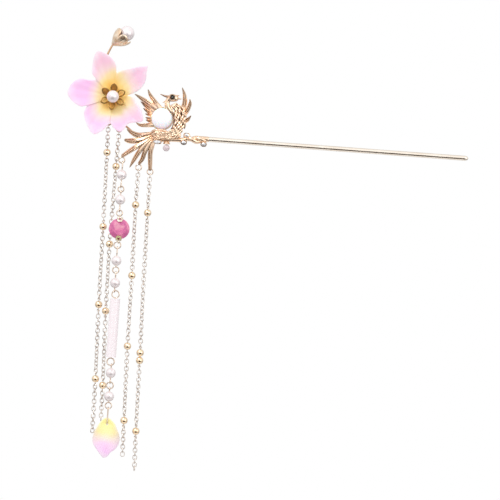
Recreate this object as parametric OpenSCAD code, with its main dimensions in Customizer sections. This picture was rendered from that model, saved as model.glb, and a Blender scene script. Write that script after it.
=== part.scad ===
// Buyao hairpin: a long hair stick that carries a phoenix on a branch, a five
// petal flower with a pearl bud, a string of pearls that ends in a petal drop,
// and four fine chains with gold beads.
// Millimetres. The stick runs along +X from its root at the origin, +Z is up,
// the chains hang along -Z, and the phoenix and the flower face -Y.

/* [Hair stick] */
// Length of the stick from its root to its tip
stick_l = 104; // [70:1:150]
// Diameter of the stick
stick_d = 2; // [1.6:0.1:2.4]
// Length of the rounded tip
tip_l = 1.6; // [1:0.1:4]
// Length of the tenon that sits in the branch
tenon_l = 4; // [2:0.5:6]
// Diameter of the tenon
tenon_d = 1.2; // [0.8:0.1:1.4]

/* [Phoenix] */
// Height of the phoenix from the branch to its wing tips
bird_h = 20; // [18:0.5:24]
// Thickness of a feather from its flat back to its ridges
feather_t = 1.4; // [1:0.1:1.8]
// Depth of the grooves between the ridges of a feather
groove_depth = 0.6; // [0.3:0.1:0.9]
// Diameter of the opal
opal_d = 8.3; // [6.5:0.1:9]
// Height of the opal's dome above its girdle
opal_dome = 2.3; // [1.6:0.1:3]
// Thickness of the opal below its dome
opal_girdle = 0.9; // [0.6:0.1:1.2]
// Wall of the bezel round the opal
bezel_w = 0.45; // [0.3:0.05:0.8]
// Diameter of the eye stone
eye_stone_d = 1.5; // [1:0.1:1.8]
// Diameter of the clear stones on the branch
branch_stone_d = 1.6; // [1.2:0.1:2]
// Diameter of the bead under the cap
cup_bead_d = 2.8; // [2:0.1:3.4]

/* [Flower] */
// Longest reach of a petal from the flower's centre
flower_reach = 19.1; // [16:0.1:21]
// Thickness of the petals
petal_t = 1; // [0.8:0.1:1.4]
// How far the petal tips come forward
flower_cup = 2.6; // [1:0.1:4]
// How far the petal edges rise beside a petal's middle
petal_trough = 1.3; // [0.5:0.1:2]
// Diameter of the hole in the flower's centre
flower_hole_d = 1.3; // [1.1:0.1:1.6]
// Diameter of the wire behind the flower that also carries the bud
flower_wire_d = 0.8; // [0.6:0.05:0.9]
// Diameter of the pin through the flower
flower_pin_d = 0.7; // [0.5:0.05:0.9]
// Half the width of one stamen loop
stamen_loop_w = 1.15; // [0.9:0.05:1.3]
// Length of one stamen loop from the middle to its tip
stamen_loop_l = 3.3; // [2.6:0.1:4]
// Wire thickness of the stamen loops
stamen_wire = 0.55; // [0.4:0.05:0.7]
// Thickness of the stamen's middle
stamen_t = 0.6; // [0.4:0.05:1]
// Diameter of the pearl in the flower
stamen_pearl_d = 5; // [4:0.1:5.5]

/* [Bud] */
// Diameter of the pearl in the bud
bud_pearl_d = 6; // [5:0.1:6.6]
// Length of the bud's leaves
bud_leaf_l = 6.6; // [5:0.1:7.4]
// Widest radius of the bud's leaves
bud_leaf_r = 3.9; // [3.8:0.1:4.6]
// Thickness of the bud's leaves
bud_leaf_t = 0.5; // [0.3:0.05:0.7]

/* [String] */
// Diameter of the pearls on the string
pearl_d = 4; // [3:0.1:4.6]
// Diameter of the wire of the rings and eye pins
wire_d = 0.5; // [0.4:0.02:0.54]
// Diameter of the pink stone
pink_stone_d = 8.3; // [7:0.1:10]
// Height of the pink stone's crown
crown_h = 1.5; // [1:0.1:2]
// Depth of the pink stone's pavilion
pavilion_h = 1.6; // [1:0.1:2.2]
// Metal thickness of the claw setting
claw_t = 0.45; // [0.3:0.05:0.6]
// Width of a claw
claw_w = 2.4; // [1.6:0.1:3]
// Diameter of the crystal rod
rod_d = 4; // [3:0.1:5]
// Length of the crystal rod
rod_l = 23.4; // [16:0.1:30]
// Height of the petal drop
drop_h = 15; // [12:0.1:18]
// Thickness of the petal drop
drop_t = 0.9; // [0.6:0.1:1.2]
// How far the petal drop's middle bulges forward
drop_bulge = 1.1; // [0.5:0.1:1.6]
// Length between the end arcs of the drop's wire loop
bail_span = 5; // [4:0.1:8]

/* [Chains] */
// Length of a chain link outside
link_l = 2.3; // [2.1:0.05:2.8]
// Width of a chain link outside
link_w = 1.85; // [1.7:0.05:2]
// Wire diameter of a chain link
link_wire = 0.36; // [0.3:0.01:0.38]
// Diameter of the gold beads
bead_d = 3; // [2.4:0.1:3.4]
// Diameter of the tube that stands for a hidden link chain
chain_tube_d = 1; // [0.8:0.1:1.2]

/* [Hidden] */
$fn = 48;

// Gaps between neighbouring pieces
gap = 0.1;
link_gap = 0.12;

// Colours as the finished piece shows them
rose_gold = "#c98f5e";
pale_gold = "#e0bd94";
chain_grey = "#b9b0a4";
pearl_white = "#f2ebe6";
petal_pink = "#f3a9d8";
clear_glass = "#e6dfe2";

// Points and lengths of the phoenix are hundredths of its height
one = bird_h / 100;

// Feathers: rows of [across, up, half width, depth] from root to tip
left_wing = [
    [[-102, 53, 12, -3], [-115, 69, 9, -3], [-124, 81, 6.5, -1], [-129, 91, 2, 2]],
    [[-109, 53, 12, -3], [-129, 65, 10, -2], [-143, 73.5, 7, 0], [-155, 80, 1.5, 2]],
    [[-115, 48, 9, -2], [-129, 56, 8, 0], [-142, 66, 1.5, 2]],
    [[-117, 43, 7, -1], [-127, 47, 6, 0], [-136, 53, 1.5, 1]],
    [[-115, 38, 6, -4], [-124, 40, 5, -3], [-131, 42, 1.5, -1]],
    [[-115, 32, 6, -4], [-124, 33, 5, -3], [-130, 35, 1.5, -1]],
    [[-115, 26, 6, -4], [-123, 28, 5, -3], [-129, 30, 1.5, -1]],
    [[-113, 21, 9, -2], [-128, 19, 8, -3], [-139, 18.5, 6, -5], [-148, 23, 1.5, -7]]];
right_wing = [
    [[-60, 48, 10, 0], [-54, 67, 10, 0], [-55, 84, 7.5, -2], [-61, 100, 1.5, -4]],
    [[-58, 42, 10, 0], [-48, 54, 9, 0], [-43, 68, 7, -2], [-44, 78, 1.5, -4]],
    [[-60, 33, 10, 0], [-47, 35, 8.5, -1], [-39, 45, 1.5, -3]],
    [[-61, 34, 9, 0], [-52, 27, 7.5, -1], [-50, 17, 1.5, -3]],
    [[-73, 65, 4, -2], [-62, 57, 8, -4], [-56, 45, 9, -5], [-56, 30, 8, -4], [-60, 16, 5, -3], [-62, 7, 1.5, -1]],
    [[-80, 62, 3, -4], [-69, 54, 8, -6], [-63, 38, 9, -7], [-63, 22, 8, -6], [-68, 7, 3, -4]],
    [[-85, 57, 3, -5], [-76, 49, 7, -8], [-70, 36, 8, -9], [-72, 20, 7, -8], [-80, 8, 4, -6]]];
tail = [
    [[-110, 7, 3, 0], [-125, 1, 9, -0.5], [-142, -2, 11, 0], [-156, 3, 8, -1], [-165, 9, 3, -2]],
    [[-112, 2, 3, 0], [-127, -7, 9, -0.5], [-143, -12.5, 11, 0], [-158, -14.5, 10, -1], [-169, -13, 5, -3]],
    [[-112, -2, 3, 0], [-127, -14, 9, -0.5], [-143, -25, 10, -2], [-158, -36, 9, -5], [-172, -47, 7, -7.5]],
    [[-111, -5, 3, 0], [-124, -17, 8, -0.5], [-137, -34, 9, 0], [-146.5, -51, 8, 0], [-154.5, -68, 1.5, -1]],
    [[-109, -7, 3, 0], [-118, -18, 8, -0.5], [-126, -34, 9, 1], [-130, -48, 8.5, 3], [-137, -60, 6, 5]],
    [[-108, -3, 5, 0], [-112, -18, 9, 0], [-115, -36, 9.5, 1], [-114, -54, 9, 4], [-113, -68, 7, 5]]];
feather_steps = 7;

// Balls that the body, hub, head, neck and beaks are blended over:
// rows of [across, up, radius, depth]
body_blend = [[-109, 4, 7, 0], [-97, 2, 8, -1], [-80, 2.5, 8, -1], [-65, 4, 7, 0]];
hub_blend = [[[-109, 2, 3, 1.5], [-112, -14, 3, 1.5], [-134, -4, 2.6, 1.5]],
    [[-134, -4, 2.6, 1.5], [-138, -14, 2.6, 1.5], [-112, -14, 3, 1.5]],
    [[-138, -14, 2.6, 1.5], [-126, -24, 2.6, 1.5], [-112, -14, 3, 1.5]]];
neck_line = [[-80, 50, 6, -3], [-87, 59, 5.5, -4], [-88.5, 68, 5, -4], [-85, 75, 5.5, -4], [-78, 77.5, 8, -4]];
head_line = [[-80, 77.5, 8, -4], [-73, 77, 6.5, -4]];
beak_lines = [[[-84, 79, 3, -4], [-94, 80, 2, -4], [-103, 83, 0.8, -4]],
    [[-85, 75, 2.6, -4], [-91, 70.5, 1.6, -4], [-97, 67, 0.7, -4]]];
crest_lines = [[[-74, 82, 2, -4], [-66, 83, 0.9, -4]], [[-70, 77, 2.2, -4], [-61, 76.5, 0.9, -4]]];
branch_line = [[-111, -6, 3.6, 0], [-100, -8, 4, 0], [-84, -6.5, 4.2, 0], [-66, -5.5, 4.2, 0], [-52, -5, 4.9, 0],
    [-44, -1.5, 4.4, 0]];
// Balls that close small hollows where feathers cross
fills = [[-110, -9, 3, -1.5], [-55, 35, 3, -1]];
ball_sides = 8;

// Scales on the breast: rows of [across, up, turn], their tips towards the tail
scales = [for (x = [-105 : 10 : -65]) [x, -2.5, 196], for (x = [-110 : 10 : -70]) [x, 3, 188],
    for (x = [-105 : 10 : -65]) [x, 8.5, 184]];
scale_size = 11 * one;
scale_lift = 12;
breast_r = 8.3;

// Twisted knob: two strands that wind round each other along the branch's end
knob_from = -48 * one;
knob_dip = -2.5 * one;
knob_turns = 1.1;
knob_strand_r = 4.6 * one;
knob_spread = 3.6 * one;
knob_steps = 12;
collar_l = 4;
collar_r = 1.1;

// Seats of the small stones: rows of [across, up, stretch, lean]
eye_seat = [-79, 79, 1, 0];
branch_seats = [[-103, -12.5, 2, 40], [-50, -10, 1.25, 30], [-45, 5.5, 1.4, -35], [-10, -11, 1.25, 30]];
seat_depth = -4 * one;
cup_wall = 0.28;
cup_back = 0.75;
cup_h = 0.85;
pocket_back = 0.4;
small_crown = 0.45;
small_sides = 8;
cap_at = [-84, -12.4];
cap_r = 1.5;
cap_h = 1.3;

// Opal in its bezel
opal_at = [-19.36 / 20 * bird_h, 6.96 / 20 * bird_h];
opal_r = opal_d / 2;
opal_back = -0.3;
bezel_back = 1;
bezel_front = -0.9;

// Flower: its outline in rows of [angle, reach in hundredths]
flower_at = [-39.4, 14.1];
flower_front = -4;
flower_edge = [[9.5, 31], [17, 52], [28, 73], [40, 87], [45.5, 96], [50, 89], [64, 69], [80, 55],
    [86, 52], [89, 67], [98, 84], [106, 94], [112, 100], [118, 95], [128, 77], [136, 65],
    [139, 51], [149, 62], [155, 79], [165, 89], [179, 95], [190, 86], [201, 70],
    [203.5, 58], [213, 69], [233, 81], [246, 88], [254, 79],
    [267, 57], [276, 66], [287, 75], [303, 65], [316, 72], [325, 80], [337, 68], [350, 50], [363, 43]];
flower_notches = [9.5, 86, 139, 203.5, 267, 369.5];
flower_flat = 0.3;
flower_rings = 5;
flower_cuts = 2;

// Stamen: pointed loops of two arcs stand round a flat middle and lean forward
stamen_loops = 6;
stamen_first = 28;
stamen_lean = 22;
stamen_hub_r = 2.3;
stamen_back = flower_front - gap;
stamen_front = stamen_back - stamen_t;
stamen_arc_r = (stamen_loop_l * stamen_loop_l / 4 + stamen_loop_w * stamen_loop_w) / (2 * stamen_loop_w);
stamen_arc_half = asin(stamen_loop_l / 2 / stamen_arc_r);

// Bud: its cup stands on the end of the flower's wire and opens up to the right
bud_at = [-41.3, 34.8];
bud_depth = -2.5;
bud_turn = 42;
bud_leaves = 5;
bud_notch = 0.5;
// Leaf from its root to its tip as shares of [widest radius, length]
bud_profile = [[0.14, 0], [0.46, 0.22], [0.77, 0.45], [0.95, 0.69], [1, 0.89], [0.96, 1]];
bud_rings = 6;
bud_cuts = 6;
bud_pearl_rise = 4.5 + bud_pearl_d / 2;

// Wire behind the flower: chosen points, with a coiled eye over chains B and A
chain_back = 3.4;
wire_eye_r = 1;
wire_eye_pitch = 1.1;
wire_eye_steps = 14;
eye_b_x = -36.2;
eye_a_x = -40.7;
eye_b_top = 3.6;
eye_a_top = 6;
wire_start = [[-23.2, 1.35, -1.3], [-24.7, 1.35, -1.3], [-26.3, 1.35, -1.3], [-28.8, 1.5, -0.6], [-31, 1.9, 1],
    [-33, 2.6, 2.5], [-34.6, chain_back, 3.5]];
wire_middle = [[-37.6, chain_back, 4], [-39.2, chain_back, 5.2]];
wire_sides = 8;
wire_steps = 3;
pin_eye_r = flower_wire_d / 2 + link_gap + flower_pin_d / 2;
pin_eye_y = flower_front + petal_t + gap + flower_pin_d / 2 + pin_eye_r;
wire_end = [[-42.2, chain_back - 0.2, 6.5], [-43, 2.2, 8.8], [-41.8, 0.3, 11.3],
    [-39.8, pin_eye_y + 0.2, 13.2], [flower_at[0], pin_eye_y, flower_at[1]], [-39.6, pin_eye_y - 0.05, 15],
    [-41, -1.9, 18], [-42.6, -2.1, 21.8], [-43.6, -2.3, 26], [-43, bud_depth, 30.4]];
// Barrel on the casting's back that the wire sits in
barrel_from = [-26, 1.35, -1.3];
barrel_l = 3.4;
barrel_r = 0.95;
barrel_bore_l = 2.9;

// Centre string: pieces are [end arc above, stretch, end arc below] in order
ring_r = 1.15;
wide_ring_r = 1.35;
neck = 0.2;
small_eye = 0.6;
long_eye = 0.7;
large_eye = 1.25;
rod_eye = 1.45;
bail_arc = 0.9;
string_depth = -7.5 * one;
string_top = [-170.5 * one, -54 * one];
// How far each piece of the string lies to the right of its top ring
string_route = [[0, 0], [6, 0.4], [21, 0.6], [28, 1], [34, 0.7], [50, 0.9], [67, 1.4], [85, 1.8], [120, 1.8]];
// Eyes of the pearl pins: rows of [eye above, its stretch, eye below, its stretch]
pins = [[long_eye, 1.45, long_eye, 1.35], [small_eye, 0, long_eye, 1], [long_eye, 1.7, large_eye, 0],
    [long_eye, 0.7, small_eye, 0], [small_eye, 0, long_eye, 0.35], [small_eye, 0, large_eye, 0]];
pin_bore_r = wire_d / 2 + gap;

// Cut stones, the pink stone among them, in its claw setting
table_share = 0.58;
girdle_share = 0.06;
stone_r = pink_stone_d / 2;
stone_sides = 12;
setting_depth = 0.7;
setting_eye_rise = stone_r + claw_t + gap + 0.45;

// Petal drop: its outline round the hole in rows of [angle, reach in hundredths of its height]
drop_edge = [[28.6, 17], [71.6, 17], [94, 17.5], [122, 17.5], [163, 18.5], [197.5, 27], [215.8, 41], [228.8, 56],
    [239.2, 65], [251.9, 73], [261.7, 83], [267.5, 90], [274.5, 86], [281, 76], [290.8, 71], [302, 63],
    [314, 52], [324.3, 41], [342.5, 27]];
drop_half_share = 0.355;
drop_edge_share = 3.5;
drop_hole_r = 0.45;
drop_rings = 4;
drop_cuts = 2;

// Chains: [where its ring hangs, links between the beads, beads on each pin, route below the ring]
tail_ring_c = [-136.5 * one, 5.5 * one, -66 * one];
tail_ring_d = [-112.8 * one, 5.5 * one, -73 * one];
chains = [
    [[eye_a_x, chain_back, eye_a_top - 2 * wire_eye_r], [6, 17, 18, 17, 13], [1, 1, 1, 1],
        [[0, 0], [12, 0.3], [41, 0.9], [72, 1.4], [102, 2.3], [125, 2.6]]],
    [[eye_b_x, chain_back, eye_b_top - 2 * wire_eye_r], [8, 18, 15, 17, 8], [1, 1, 1, 1],
        [[0, 0], [15, -0.2], [46, -0.5], [73, -0.1], [102, 0.9], [118, 1.2]]],
    [tail_ring_c, [8, 16, 16, 17, 8], [1, 1, 1, 1],
        [[0, 0], [15, -0.1], [44, 0.5], [72, 0.8], [102, 1.6], [117, 2]]],
    [tail_ring_d, [9, 35, 16, 9], [1, 2, 1],
        [[0, 0], [16, 0.2], [44, 0.6], [73, 1.3], [104, 1.9], [120, 2.4]]]];
bead_eye_r = 0.46;
bead_neck = 0.12;
bead_bore_r = link_wire / 2 + link_gap;
tube_bore_r = chain_tube_d / 2 + gap;
link_twist = 4;
tube_sides = 8;
tube_step = 4.5;

// Shared geometry

function unit(v) = v / norm(v);

// Smooth curve through points, from share 0 at the first to share 1 at the last
function bend(a, b, c, d, u) = 0.5 * (2 * b + (c - a) * u + (2 * a - 5 * b + 4 * c - d) * u * u
    + (3 * b - a - 3 * c + d) * u * u * u);
function along(pts, share) =
    let (last = len(pts) - 1,
        i = min(floor(share * last), last - 1),
        before = i > 0 ? pts[i - 1] : 2 * pts[0] - pts[1],
        after = i < last - 1 ? pts[i + 2] : 2 * pts[last] - pts[last - 1])
    bend(before, pts[i], pts[i + 1], after, share * last - i);
function smooth(pts, steps) = [for (i = [0 : (len(pts) - 1) * steps]) along(pts, i / ((len(pts) - 1) * steps))];

// Direction of a path at one of its points
function heading(pts, i) = unit(pts[min(i + 1, len(pts) - 1)] - pts[max(i - 1, 0)]);
// Sideways directions carried along a path without twist
function sideways(pts, first) = [for (i = 0, n = unit(cross(cross(heading(pts, 0), first), heading(pts, 0)));
    i < len(pts);
    i = i + 1, n = i < len(pts) ? unit(n - (n * heading(pts, i)) * heading(pts, i)) : n) n];

// Faces of a closed skin over rings of equal point count, with flat ends
function skin_faces(rings, sides) = concat(
    [[for (j = [sides - 1 : -1 : 0]) j]],
    [for (i = [0 : rings - 2]) for (j = [0 : sides - 1])
        let (k = (j + 1) % sides, a = i * sides, b = a + sides)
        each [[a + j, b + k, b + j], [a + j, a + k, b + k]]],
    [[for (j = [0 : sides - 1]) (rings - 1) * sides + j]]);

// Round tube along a path, with one radius or one for each point
module tube(pts, radius, sides) {
    side = sideways(pts, [0.13, 0.97, 0.21]);
    points = [for (i = [0 : len(pts) - 1]) let (across = side[i], up = cross(heading(pts, i), side[i]))
        for (j = [0 : sides - 1]) let (a = -360 * j / sides)
            pts[i] + (is_list(radius) ? radius[i] : radius) * (cos(a) * across + sin(a) * up)];
    polyhedron(points, skin_faces(len(pts), sides));
}

// Plate between a front and a back grid of points, round a hole
module plate(front, back) {
    rings = len(front);
    spokes = len(front[0]);
    size = rings * spokes;
    points = concat([for (ring = front) each ring], [for (ring = back) each ring]);
    faces = [for (i = [0 : rings - 1]) for (j = [0 : spokes - 1])
        let (k = (j + 1) % spokes, a = i * spokes + j, b = i * spokes + k, c = b + spokes, d = a + spokes)
        each i < rings - 1
            ? [[a, b, c], [a, c, d], [size + a, size + c, size + b], [size + a, size + d, size + c]]
            : [[a, b, size + b], [a, size + b, size + a]]];
    hole = [for (j = [0 : spokes - 1]) let (k = (j + 1) % spokes)
        each [[j, size + j, size + k], [j, size + k, k]]];
    polyhedron(points, concat(faces, hole));
}

// Closed curve through rows of [angle, reach], each stretch cut into shares
function round_edge(rows, cuts) = let (n = len(rows), turn = [360, 0])
    [for (i = [0 : n - 1]) for (s = [0 : cuts - 1])
        bend(i > 0 ? rows[i - 1] : rows[n - 1] - turn, rows[i],
            i < n - 1 ? rows[i + 1] : rows[0] + turn,
            i < n - 2 ? rows[i + 2] : rows[(i + 2) % n] + turn, s / cuts)];

// Hull from ball to ball along rows of [across, up, radius, depth]
module ball(row) {
    translate([row[0], row[3], row[1]] * one) sphere(r = row[2] * one, $fn = ball_sides);
}
module blend_line(rows) {
    for (i = [0 : len(rows) - 2]) hull() {
        ball(rows[i]);
        ball(rows[i + 1]);
    }
}

// Phoenix casting

// Section of a feather: a flat back and three ridges, as [across, forward] shares
groove = 1 - groove_depth / feather_t;
feather_section = [[-1, 0], [-1, groove], [-0.68, 1], [-0.33, groove], [0, 1], [0.33, groove],
    [0.68, 1], [1, groove], [1, 0]];

module feather(rows) {
    at = [for (i = [0 : feather_steps]) along(rows, i / feather_steps)];
    line = [for (row = at) [row[0], row[1]]];
    points = [for (i = [0 : feather_steps])
        let (row = at[i], way = heading(line, i), thick = feather_t * (0.55 + 0.45 * min(1, row[2] / 6)))
        for (p = feather_section)
            [(row[0] + p[0] * row[2] / 2 * -way[1]) * one,
                row[3] * one + thick / 2 - p[1] * thick,
                (row[1] + p[0] * row[2] / 2 * way[0]) * one]];
    polyhedron(points, skin_faces(feather_steps + 1, len(feather_section)));
}

// Flat scale whose tip stands off the round breast
module breast_scale(row) {
    rise = row[1] - 2.5;
    front = sqrt(breast_r * breast_r - rise * rise);
    translate([row[0], -front, row[1]] * one) rotate([0, -row[2], 0]) rotate([0, 0, -scale_lift])
        scale([1, 0.42, 0.62]) sphere(d = scale_size, $fn = 6);
}

module knob() {
    for (strand = [0, 180]) {
        pts = [for (i = [0 : knob_steps]) let (s = i / knob_steps, a = strand + 70 + 360 * knob_turns * s,
                spread = knob_spread * (0.35 + 0.65 * sin(180 * s)))
            [knob_from * (1 - s) - gap, spread * cos(a), knob_dip * sin(180 * s) + spread * sin(a)]];
        tube(pts, [for (i = [0 : knob_steps]) knob_strand_r * (0.62 + 0.38 * sin(180 * i / knob_steps))], 8);
    }
    translate([-collar_l, 0, 0]) rotate([0, 90, 0]) cylinder(h = collar_l, r = collar_r, $fn = 16);
    translate([-collar_l, 0, 0]) sphere(r = collar_r, $fn = 12);
}

// Places a small stone or its cup: rows of [across, up, stretch, lean]
module at_seat(row) {
    translate([row[0] * one, seat_depth, row[1] * one]) rotate([row[3], 0, 0]) children();
}

module stone_cup(row, d) {
    at_seat(row) hull() for (side = [-1, 1])
        translate([side * (row[2] - 1) * d / 2, cup_back, 0]) rotate([90, 0, 0])
            cylinder(h = cup_h, r = d / 2 + cup_wall, $fn = 12);
}

module stone_pocket(row, d) {
    at_seat(row) hull() for (side = [-1, 1])
        translate([side * (row[2] - 1) * d / 2, pocket_back, 0]) rotate([90, 0, 0])
            cylinder(h = 2, r = d / 2 + gap, $fn = 16);
}

// Room that a ring needs where it passes through a feather's tip
module ring_room(at, r) {
    translate(at) rotate([90, 0, 0]) rotate_extrude($fn = 24)
        translate([r, 0]) circle(d = wire_d + 2 * link_gap, $fn = 10);
}

module phoenix() {
    color(rose_gold) difference() {
        union() {
            for (row = left_wing) feather(row);
            for (row = right_wing) feather(row);
            for (row = tail) feather(row);
            blend_line(body_blend);
            for (group = hub_blend) hull() for (row = group) ball(row);
            blend_line(neck_line);
            blend_line(head_line);
            for (row = beak_lines) blend_line(row);
            for (row = crest_lines) blend_line(row);
            blend_line(branch_line);
            for (row = fills) ball(row);
            for (row = scales) breast_scale(row);
            knob();
            translate(barrel_from) rotate([0, 90, 0]) cylinder(h = barrel_l, r = barrel_r, $fn = 12);
            stone_cup(eye_seat, eye_stone_d);
            for (row = branch_seats) stone_cup(row, branch_stone_d);
            translate([opal_at[0], bezel_back, opal_at[1]]) rotate([90, 0, 0])
                cylinder(h = bezel_back - bezel_front, r = opal_r + gap + bezel_w, $fn = 36);
            translate([cap_at[0] * one, 0, cap_at[1] * one - cap_h / 2])
                cylinder(h = cap_h, r1 = cap_r, r2 = cap_r * 0.6, $fn = 20);
        }
        translate([opal_at[0], opal_back + gap, opal_at[1]]) rotate([90, 0, 0])
            cylinder(h = 8, r = opal_r + gap, $fn = 36);
        translate([-tenon_l - gap, 0, 0]) rotate([0, 90, 0]) cylinder(h = 2 * tenon_l, d = tenon_d + 2 * gap, $fn = 24);
        translate([-gap, -5, -5]) cube(10);
        translate(barrel_from - [1, 0, 0]) rotate([0, 90, 0])
            cylinder(h = barrel_bore_l + 1, d = flower_wire_d + 2 * gap, $fn = 12);
        stone_pocket(eye_seat, eye_stone_d);
        for (row = branch_seats) stone_pocket(row, branch_stone_d);
        ring_room([string_top[0], string_depth, string_top[1]], ring_r);
        ring_room(tail_ring_c, ring_r);
        ring_room(tail_ring_d, ring_r);
    }
}

// Stick

module hair_stick() {
    steps = 6;
    profile = concat(
        [[0, -tenon_l], [tenon_d / 2, -tenon_l], [tenon_d / 2, 0], [stick_d / 2, 0]],
        [for (i = [0 : steps]) let (a = 90 * i / steps)
            [stick_d / 2 * cos(a), stick_l - tip_l + tip_l * sin(a)]]);
    color(pale_gold) rotate([0, 90, 0]) rotate_extrude() polygon(profile);
}

// Stones

module opal() {
    dome_r = (opal_r * opal_r + opal_dome * opal_dome) / (2 * opal_dome);
    color("#eef0fb") translate([opal_at[0], opal_back, opal_at[1]]) rotate([90, 0, 0]) intersection() {
        cylinder(h = opal_girdle + opal_dome, r = opal_r);
        translate([0, 0, opal_girdle + opal_dome - dome_r]) sphere(r = dome_r);
    }
}

// Round or stretched cut stone with its table towards -Y
module cut_stone(r, crown, pavilion, sides, stretch) {
    table_r = r * table_share;
    girdle = r * girdle_share;
    points = concat(
        [for (j = [0 : sides - 1]) let (a = 360 * (j + 0.5) / sides) [stretch * table_r * cos(a), -crown, table_r * sin(a)]],
        [for (j = [0 : sides - 1]) let (a = 360 * j / sides) [stretch * r * cos(a), -girdle, r * sin(a)]],
        [for (j = [0 : sides - 1]) let (a = 360 * j / sides) [stretch * r * cos(a), girdle, r * sin(a)]],
        [[0, pavilion, 0]]);
    faces = concat(
        [[for (j = [sides - 1 : -1 : 0]) j]],
        [for (j = [0 : sides - 1]) let (k = (j + 1) % sides, g = sides, b = 2 * sides)
            each [[j, k, g + k], [j, g + k, g + j], [g + j, g + k, b + k], [g + j, b + k, b + j],
                [b + j, b + k, 3 * sides]]]);
    polyhedron(points, faces);
}

module eye_stone() {
    color(clear_glass) at_seat(eye_seat)
        cut_stone(eye_stone_d / 2, small_crown, pocket_back - gap, small_sides, 1);
}

module branch_stone(i) {
    color(clear_glass) at_seat(branch_seats[i])
        cut_stone(branch_stone_d / 2, small_crown, pocket_back - gap, small_sides, branch_seats[i][2]);
}

module cup_bead() {
    color("#efd9d6") translate([cap_at[0] * one, 0, cap_at[1] * one - cap_h / 2 - gap - cup_bead_d / 2])
        sphere(d = cup_bead_d);
}

// Flower

// Share of the way from a petal's middle to the notch beside it
function petal_side(a) =
    let (b = a < flower_notches[0] ? a + 360 : a,
        i = [for (n = [0 : 4]) if (b <= flower_notches[n + 1] + 0.01) n][0],
        middle = (flower_notches[i] + flower_notches[i + 1]) / 2)
    (b - middle) / (flower_notches[i + 1] - middle);

function flower_depth(a, r) =
    let (side = petal_side(a), out = max(0, r / flower_reach - flower_flat) / (1 - flower_flat))
    flower_front - flower_cup * pow(out, 1.4) - petal_trough * side * side * out;

module flower() {
    edge = round_edge(flower_edge, flower_cuts);
    hole = flower_hole_d / 2;
    front = [for (i = [0 : flower_rings]) [for (p = edge)
        let (share = i / flower_rings, r = hole + (flower_reach * p[1] / 100 - hole) * share)
        [flower_at[0] + r * cos(p[0]), flower_depth(p[0], r), flower_at[1] + r * sin(p[0])]]];
    back = [for (ring = front) [for (p = ring) p + [0, petal_t, 0]]];
    color(petal_pink) plate(front, back);
}

module stamen_loop() {
    for (side = [-1, 1]) translate([stamen_loop_l / 2, 0, side * (stamen_loop_w - stamen_arc_r)])
        rotate([90, 0, 0]) rotate([0, 0, side * 90 - stamen_arc_half])
            rotate_extrude(angle = 2 * stamen_arc_half) translate([stamen_arc_r, 0]) circle(d = stamen_wire);
    translate([stamen_loop_l, 0, 0]) sphere(d = stamen_wire * 1.15);
}

module stamen() {
    color(rose_gold) translate([flower_at[0], stamen_back - stamen_t / 2, flower_at[1]]) difference() {
        union() {
            rotate([90, 0, 0]) cylinder(h = stamen_t, r = stamen_hub_r, center = true);
            for (i = [0 : stamen_loops - 1]) rotate([0, -stamen_first - 360 * i / stamen_loops, 0])
                translate([stamen_hub_r - 0.25, 0, 0]) rotate([0, 0, -stamen_lean]) stamen_loop();
        }
        rotate([90, 0, 0]) cylinder(h = stamen_t + 2, d = flower_pin_d + 2 * gap, center = true);
    }
}

stamen_pearl_at = [flower_at[0], stamen_front - gap - stamen_pearl_d / 2, flower_at[1]];

module stamen_pearl() {
    color(pearl_white) translate(stamen_pearl_at) difference() {
        sphere(d = stamen_pearl_d);
        rotate([-90, 0, 0]) cylinder(h = stamen_pearl_d, d = flower_pin_d + 2 * gap);
    }
}

// One coil of the wire round a line along -X, for a ring to hang in
function wire_eye(x, top) = [for (i = [0 : wire_eye_steps]) let (a = 360 * i / wire_eye_steps)
    [x + wire_eye_pitch * (0.5 - i / wire_eye_steps),
        chain_back + wire_eye_r * sin(a), top - wire_eye_r + wire_eye_r * cos(a)]];

// Wire from the casting, with two coiled eyes, through the flower pin's eye and up into the bud
module flower_wire() {
    bud_root = [bud_at[0], bud_depth, bud_at[1]];
    bud_way = [cos(bud_turn), 0, sin(bud_turn)];
    eye_b = wire_eye(eye_b_x, eye_b_top);
    eye_a = wire_eye(eye_a_x, eye_a_top);
    last = wire_eye_steps;
    pts = concat(smooth(concat(wire_start, [eye_b[0]]), wire_steps),
        [for (i = [1 : last - 1]) eye_b[i]],
        smooth(concat([eye_b[last]], wire_middle, [eye_a[0]]), wire_steps),
        [for (i = [1 : last - 1]) eye_a[i]],
        smooth(concat([eye_a[last]], wire_end, [bud_root + bud_way * 0.3]), wire_steps),
        [bud_root + bud_way * 2, bud_root + bud_way * (bud_pearl_rise - 0.2)]);
    color(rose_gold) tube(pts, flower_wire_d / 2, wire_sides);
}

// Pin whose eye sits round the wire behind the flower
module flower_pin() {
    color(rose_gold) translate([flower_at[0], 0, flower_at[1]]) {
        translate([0, pin_eye_y, 0]) rotate_extrude() translate([pin_eye_r, 0]) circle(d = flower_pin_d);
        translate([0, stamen_pearl_at[1] + gap, 0]) rotate([-90, 0, 0])
            cylinder(h = pin_eye_y - pin_eye_r - stamen_pearl_at[1] - gap, d = flower_pin_d);
    }
}

// Bud

// Turns a piece from standing along +Z to the bud's own axis
module on_bud() {
    translate([bud_at[0], bud_depth, bud_at[1]]) rotate([0, 90 - bud_turn, 0]) children();
}

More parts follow.
